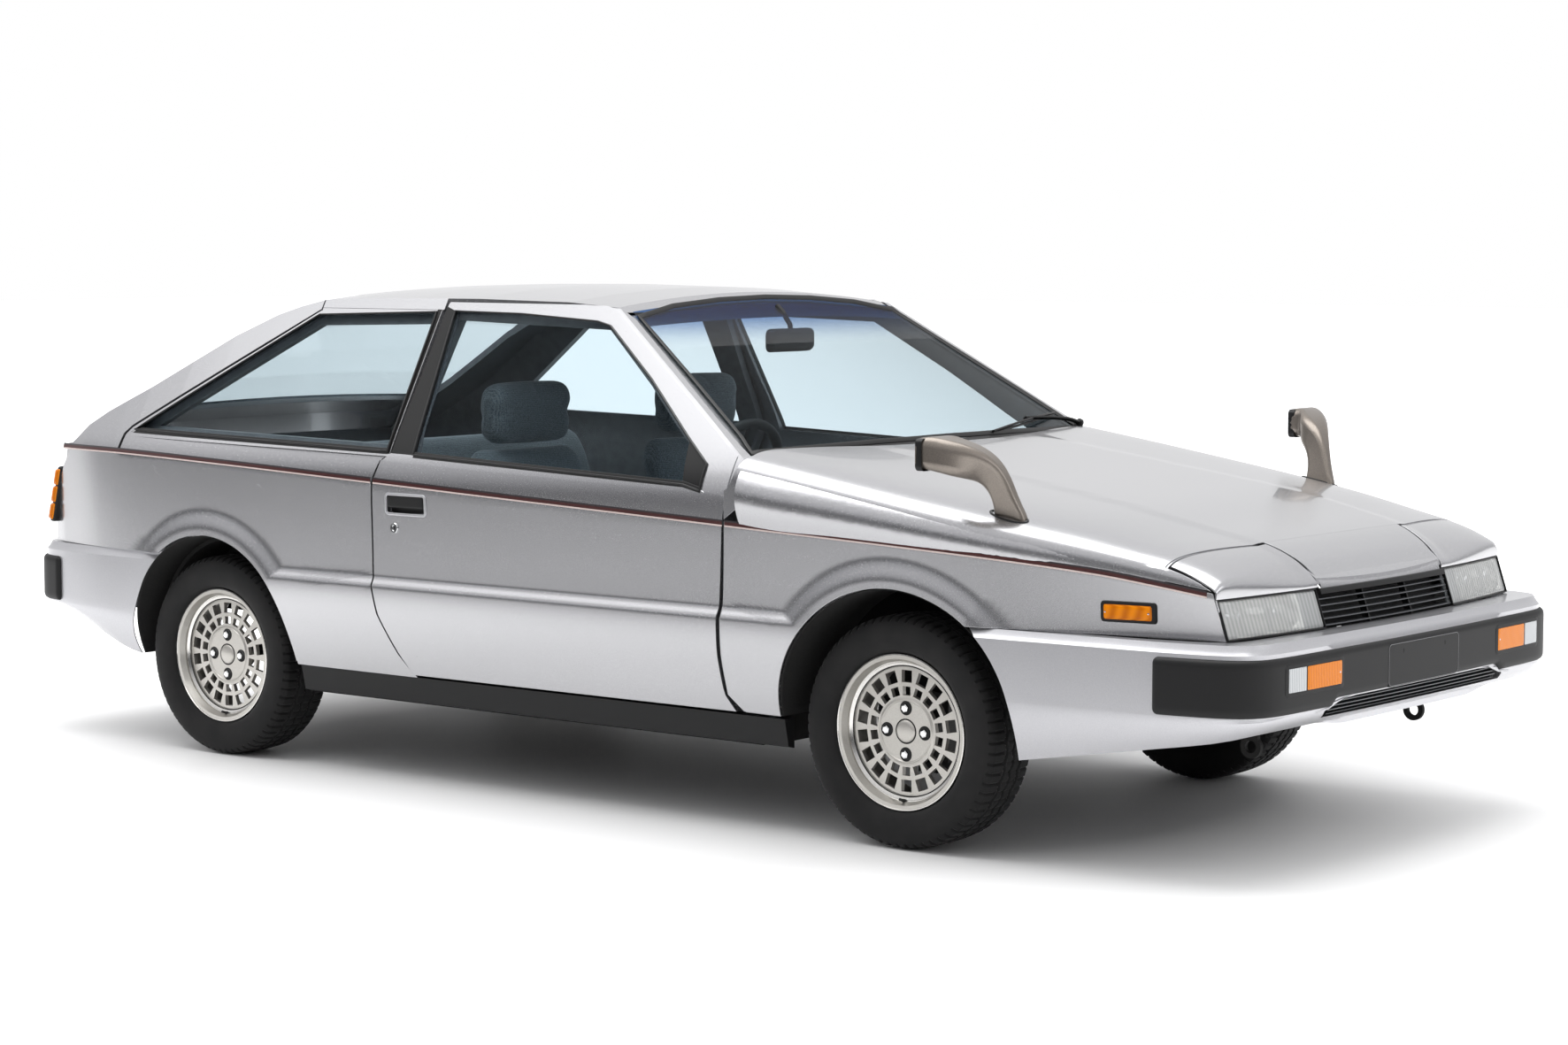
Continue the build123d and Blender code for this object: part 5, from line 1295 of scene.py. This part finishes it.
def swell(made, most_mm, voxel_mm):
    """Blows a closed cushion up: voxel remesh, twenty frames of cloth with pressure and no gravity, and no
    point further than most_mm from where it began; then one smoothing subdivision."""
    mesh = made.data
    remesh = made.modifiers.new("voxels", "REMESH")
    remesh.mode, remesh.voxel_size = "VOXEL", voxel_mm * MM
    depsgraph = bpy.context.evaluated_depsgraph_get()
    fresh = bpy.data.meshes.new_from_object(made.evaluated_get(depsgraph))
    made.modifiers.remove(remesh)
    fresh.materials.clear()
    fresh.materials.append(mesh.materials[0])
    made.data = fresh
    start = np.empty(len(fresh.vertices) * 3)
    fresh.vertices.foreach_get("co", start)
    cloth = made.modifiers.new("stuffing", "CLOTH")
    settings = cloth.settings
    settings.use_pressure, settings.uniform_pressure_force = True, 4.0
    settings.tension_stiffness = settings.compression_stiffness = 20.0
    settings.effector_weights.gravity = 0.0
    cloth.point_cache.frame_start, cloth.point_cache.frame_end = 1, FRAMES
    scene = bpy.context.scene
    for step in range(1, FRAMES + 1):
        scene.frame_set(step)
    depsgraph = bpy.context.evaluated_depsgraph_get()
    blown = np.empty(len(start))
    made.evaluated_get(depsgraph).data.vertices.foreach_get("co", blown)
    made.modifiers.remove(cloth)
    scene.frame_set(1)
    move = (blown - start).reshape(-1, 3)
    size = np.linalg.norm(move, axis=1, keepdims=True)
    move *= np.minimum(1, most_mm * MM / np.maximum(size, 1e-9))
    fresh.vertices.foreach_set("co", (start + move.reshape(-1)).astype(np.float32))
    fresh.update()
    fresh.shade_smooth()
    smooth = made.modifiers.new("smooth", "SUBSURF")
    smooth.levels = smooth.render_levels = 1


def seat(side, sign):
    """Front seat: cushion, backrest and a big headrest of woven cloth, with piped seams on the first two."""
    y = sign * 370
    cushions = {
        tag: soft_block("seat_%s_%s" % (tag, side), outline, half, y, corner, "body", seat_cloth, swell_mm)
        for tag, half, corner, swell_mm, outline in (
            ("cushion", 238, 44, 12, [(118, 332), (142, 400), (118, 436), (52, 448), (-120, 428), (-290, 402),
                                      (-380, 392), (-400, 300), (-380, 268), (92, 268)]),
            ("back", 222, 56, 10, [(-300, 420), (-318, 470), (-372, 660), (-430, 880), (-452, 916), (-478, 922),
                                   (-508, 900), (-490, 840), (-446, 600), (-414, 400), (-360, 392)]),
            ("headrest", 150, 38, 8, [(-420, 922), (-404, 970), (-400, 1050), (-420, 1084), (-458, 1089),
                                      (-498, 1074), (-512, 1020), (-504, 934), (-470, 916)]))}
    for tag, line in (("cushion", [(104, 444), (-60, 438), (-250, 414)]),
                      ("back", [(-330, 500), (-388, 720), (-428, 860)])):
        for shift in (-150, 150):
            path = trace([(x, y + shift, z + 6) for x, z in line], 8)
            bead("seat_seam_%s_%s_%s" % (tag, side, "out" if shift * sign > 0 else "in"), path, (6, 6, 2.8, 2),
                 (0, 1, 0), seat_piping, "body", closed=False)
    return cushions["cushion"]


# Vinyl piping of the seats: dark grey with a dull satin shine.
seat_piping = mottle("grey_vinyl_piping", "#363c41", "#41484d", 3.0, 0.55)
front_seat = seat("right", -1)
seat("left", 1)
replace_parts(front_seat, "front_seats")
rear_bench = {
    tag: soft_block("rear_seat_" + tag, outline, 612, 0, corner, "body", seat_cloth, 10, 26)
    for tag, corner, outline in (
        ("cushion", 60, [(-560, 300), (-546, 430), (-600, 484), (-760, 462), (-900, 446), (-1000, 430),
                         (-960, 260), (-600, 240)]),
        ("back", 56, [(-952, 430), (-990, 560), (-1080, 800), (-1128, 898), (-1162, 914), (-1196, 884),
                      (-1172, 780), (-1060, 440), (-990, 410)]))}
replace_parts(rear_bench["cushion"], "rear_seat")


def dashboard_trim():
    """Dashboard fittings: a hooded instrument housing with its glass, and air outlets."""
    def place(u, v, w):
        return np.stack([408 - w + 0.12 * (v - 760), u, v], -1)
    back = (-1, 0, 0)
    # The housing's vinyl carries the painted teal reflection.
    boss("instrument_housing", place, (-560, -180, 770, 896, 30, 44, 40), 0, cabin_vinyl_and_reflection, "body", back,
         base=-20, nu=30, nv=14)
    boss("instrument_glass", place, (-530, -210, 790, 872, 14, 1, 2), 45, satin_black, "body", back, base=-1,
         nu=20, nv=8)
    for k, spot in enumerate((-110, 90, 400, 620)):
        boss("air_outlet_%d" % k, place, (spot - 55, spot + 55, 770, 812, 8, 4, 4), 10, satin_black, "body",
             back, nu=12, nv=6)


dashboard_trim()


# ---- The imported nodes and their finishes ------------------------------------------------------

for node_name, held in frame["nodes"].items():
    entry = slot_of.get(node_name, "silver_paint")
    held.data.materials.clear()
    held.data.materials.append(NODE_FINISH[entry])


# ---- Floor, light and camera ------------------------------------------------------------------


def stage_floor():
    """The studio floor: a flat sheet, z = 0, wide enough to pass under the whole view, lit up more and more
    beyond 1.5 m from its middle so that it runs into the white room, and mid grey out past the near side."""
    reach = 60.0
    mesh = bpy.data.meshes.new("studio_floor")
    mesh.from_pydata([(-reach, -reach, 0), (reach, -reach, 0), (reach, reach, 0), (-reach, reach, 0)],
                     [], [(0, 1, 2, 3)])
    floor = bpy.data.objects.new("studio_floor", mesh)
    bpy.context.scene.collection.objects.link(floor)
    finish = mottle("pale_painted_floor", "#e6e6e6", "#ebebeb", 400.0, 0.6, Emission_Color=tone("#ffffff"))
    tree = finish.node_tree
    place = add(tree, "ShaderNodeTexCoord").outputs["Object"]
    far = add(tree, "ShaderNodeVectorMath", {0: place}, operation="LENGTH")
    glow = add(tree, "ShaderNodeMapRange", {"Value": far.outputs["Value"], "From Min": 1.5, "From Max": 3.9,
                                            "To Min": 0.0, "To Max": 0.8})
    across = add(tree, "ShaderNodeSeparateXYZ", {"Vector": place})
    near = add(tree, "ShaderNodeMapRange", {"Value": across.outputs["Y"], "From Min": -4.2, "From Max": -3.0,
                                            "To Min": 0.0, "To Max": 1.0})
    sight = add(tree, "ShaderNodeLightPath")
    pale = add(tree, "ShaderNodeMath", {0: near.outputs["Result"], 1: sight.outputs["Is Camera Ray"]},
               operation="MAXIMUM").outputs["Value"]
    power = add(tree, "ShaderNodeMath", {0: pale, 1: glow.outputs["Result"]}, operation="MULTIPLY")
    shade = add(tree, "ShaderNodeMix", {0: pale, 6: tone("#3c3c3e"), 7: tone("#e8e8e8")}, data_type="RGBA")
    wire(tree.nodes["Principled BSDF"],
         {"Base Color": shade.outputs[2], "Emission Strength": power.outputs["Value"]})
    floor.data.materials.append(finish)


def studio_light():
    """Soft studio light: a room that is white overhead and behind the car and mid grey on the near side, and
    three large soft boxes overhead, to the side and in front."""
    world = bpy.data.worlds.new("pale_room")
    bpy.context.scene.world = world
    world.use_nodes = True
    tree = world.node_tree
    place = add(tree, "ShaderNodeTexCoord").outputs["Generated"]
    split = add(tree, "ShaderNodeSeparateXYZ", {"Vector": place})
    lift = add(tree, "ShaderNodeMapRange", {"Value": split.outputs["Z"], "From Min": -1.0})
    ramp = add(tree, "ShaderNodeValToRGB", {"Fac": lift.outputs["Result"]},
               stops=((0.0, "#f2f2f2"), (0.50, "#3a3a3d"), (0.54, "#5c5c5f"), (0.59, "#b4b4b7"),
                      (0.67, "#e4e4e6"), (1.0, "#ffffff")))
    behind = add(tree, "ShaderNodeVectorMath", {0: place, 1: (-0.62, 0.78, 0.0)}, operation="DOT_PRODUCT")
    turned_away = add(tree, "ShaderNodeMapRange",
                      {"Value": behind.outputs["Value"], "From Min": 0.3, "From Max": 0.8})
    walls = add(tree, "ShaderNodeMix", {0: turned_away.outputs["Result"], 6: ramp.outputs["Color"],
                                        7: tone("#f2f2f3")}, data_type="RGBA")
    sight = add(tree, "ShaderNodeLightPath")
    seen = add(tree, "ShaderNodeBackground", {"Color": tone("#ffffff"), "Strength": 1.0})
    lit = wire(tree.nodes["Background"], {"Color": walls.outputs[2], "Strength": 1.0})
    mixed = add(tree, "ShaderNodeMixShader", {"Fac": sight.outputs["Is Camera Ray"],
                                              1: lit.outputs["Background"], 2: seen.outputs["Background"]})
    wire(tree.nodes["World Output"], {"Surface": mixed.outputs["Shader"]})
    for title, spot, aim, size, watts in (
            ("overhead_soft_box", (0.2, -0.6, 4.6), (0, 0, 0.8), (6.5, 3.6), 240),
            ("near_side_soft_box", (-4.4, -3.45, 4.75), (-4.4, 1.25, 0.8), (5.0, 2.0), 28),
            ("front_soft_box", (7.5, 1.5, 3.0), (0.5, 0, 0.6), (3.5, 2.2), 40)):
        lamp = bpy.data.lights.new(title, "AREA")
        lamp.shape = "RECTANGLE"
        lamp.size, lamp.size_y = size
        lamp.energy = watts
        box = bpy.data.objects.new(title, lamp)
        box.location = spot
        away = np.array(spot, float) - np.array(aim, float)
        flat = math.hypot(away[0], away[1])
        box.rotation_euler = (math.atan2(flat, away[2]), 0, math.atan2(away[0], -away[1]))
        bpy.context.scene.collection.objects.link(box)


def place_camera():
    """The camera at the height of a standing person's chest, with a medium telephoto lens."""
    lens = bpy.data.cameras.new("studio_camera")
    lens.lens, lens.sensor_width = 76.53, 36.0
    camera = bpy.data.objects.new("studio_camera", lens)
    camera.location = (5.931, -7.2195, 1.4804)
    camera.rotation_euler = (math.radians(85.1702), 0, math.radians(38.5665))
    bpy.context.scene.collection.objects.link(camera)
    bpy.context.scene.camera = camera


stage_floor()
studio_light()
place_camera()
bpy.context.scene.view_settings.view_transform = "Standard"
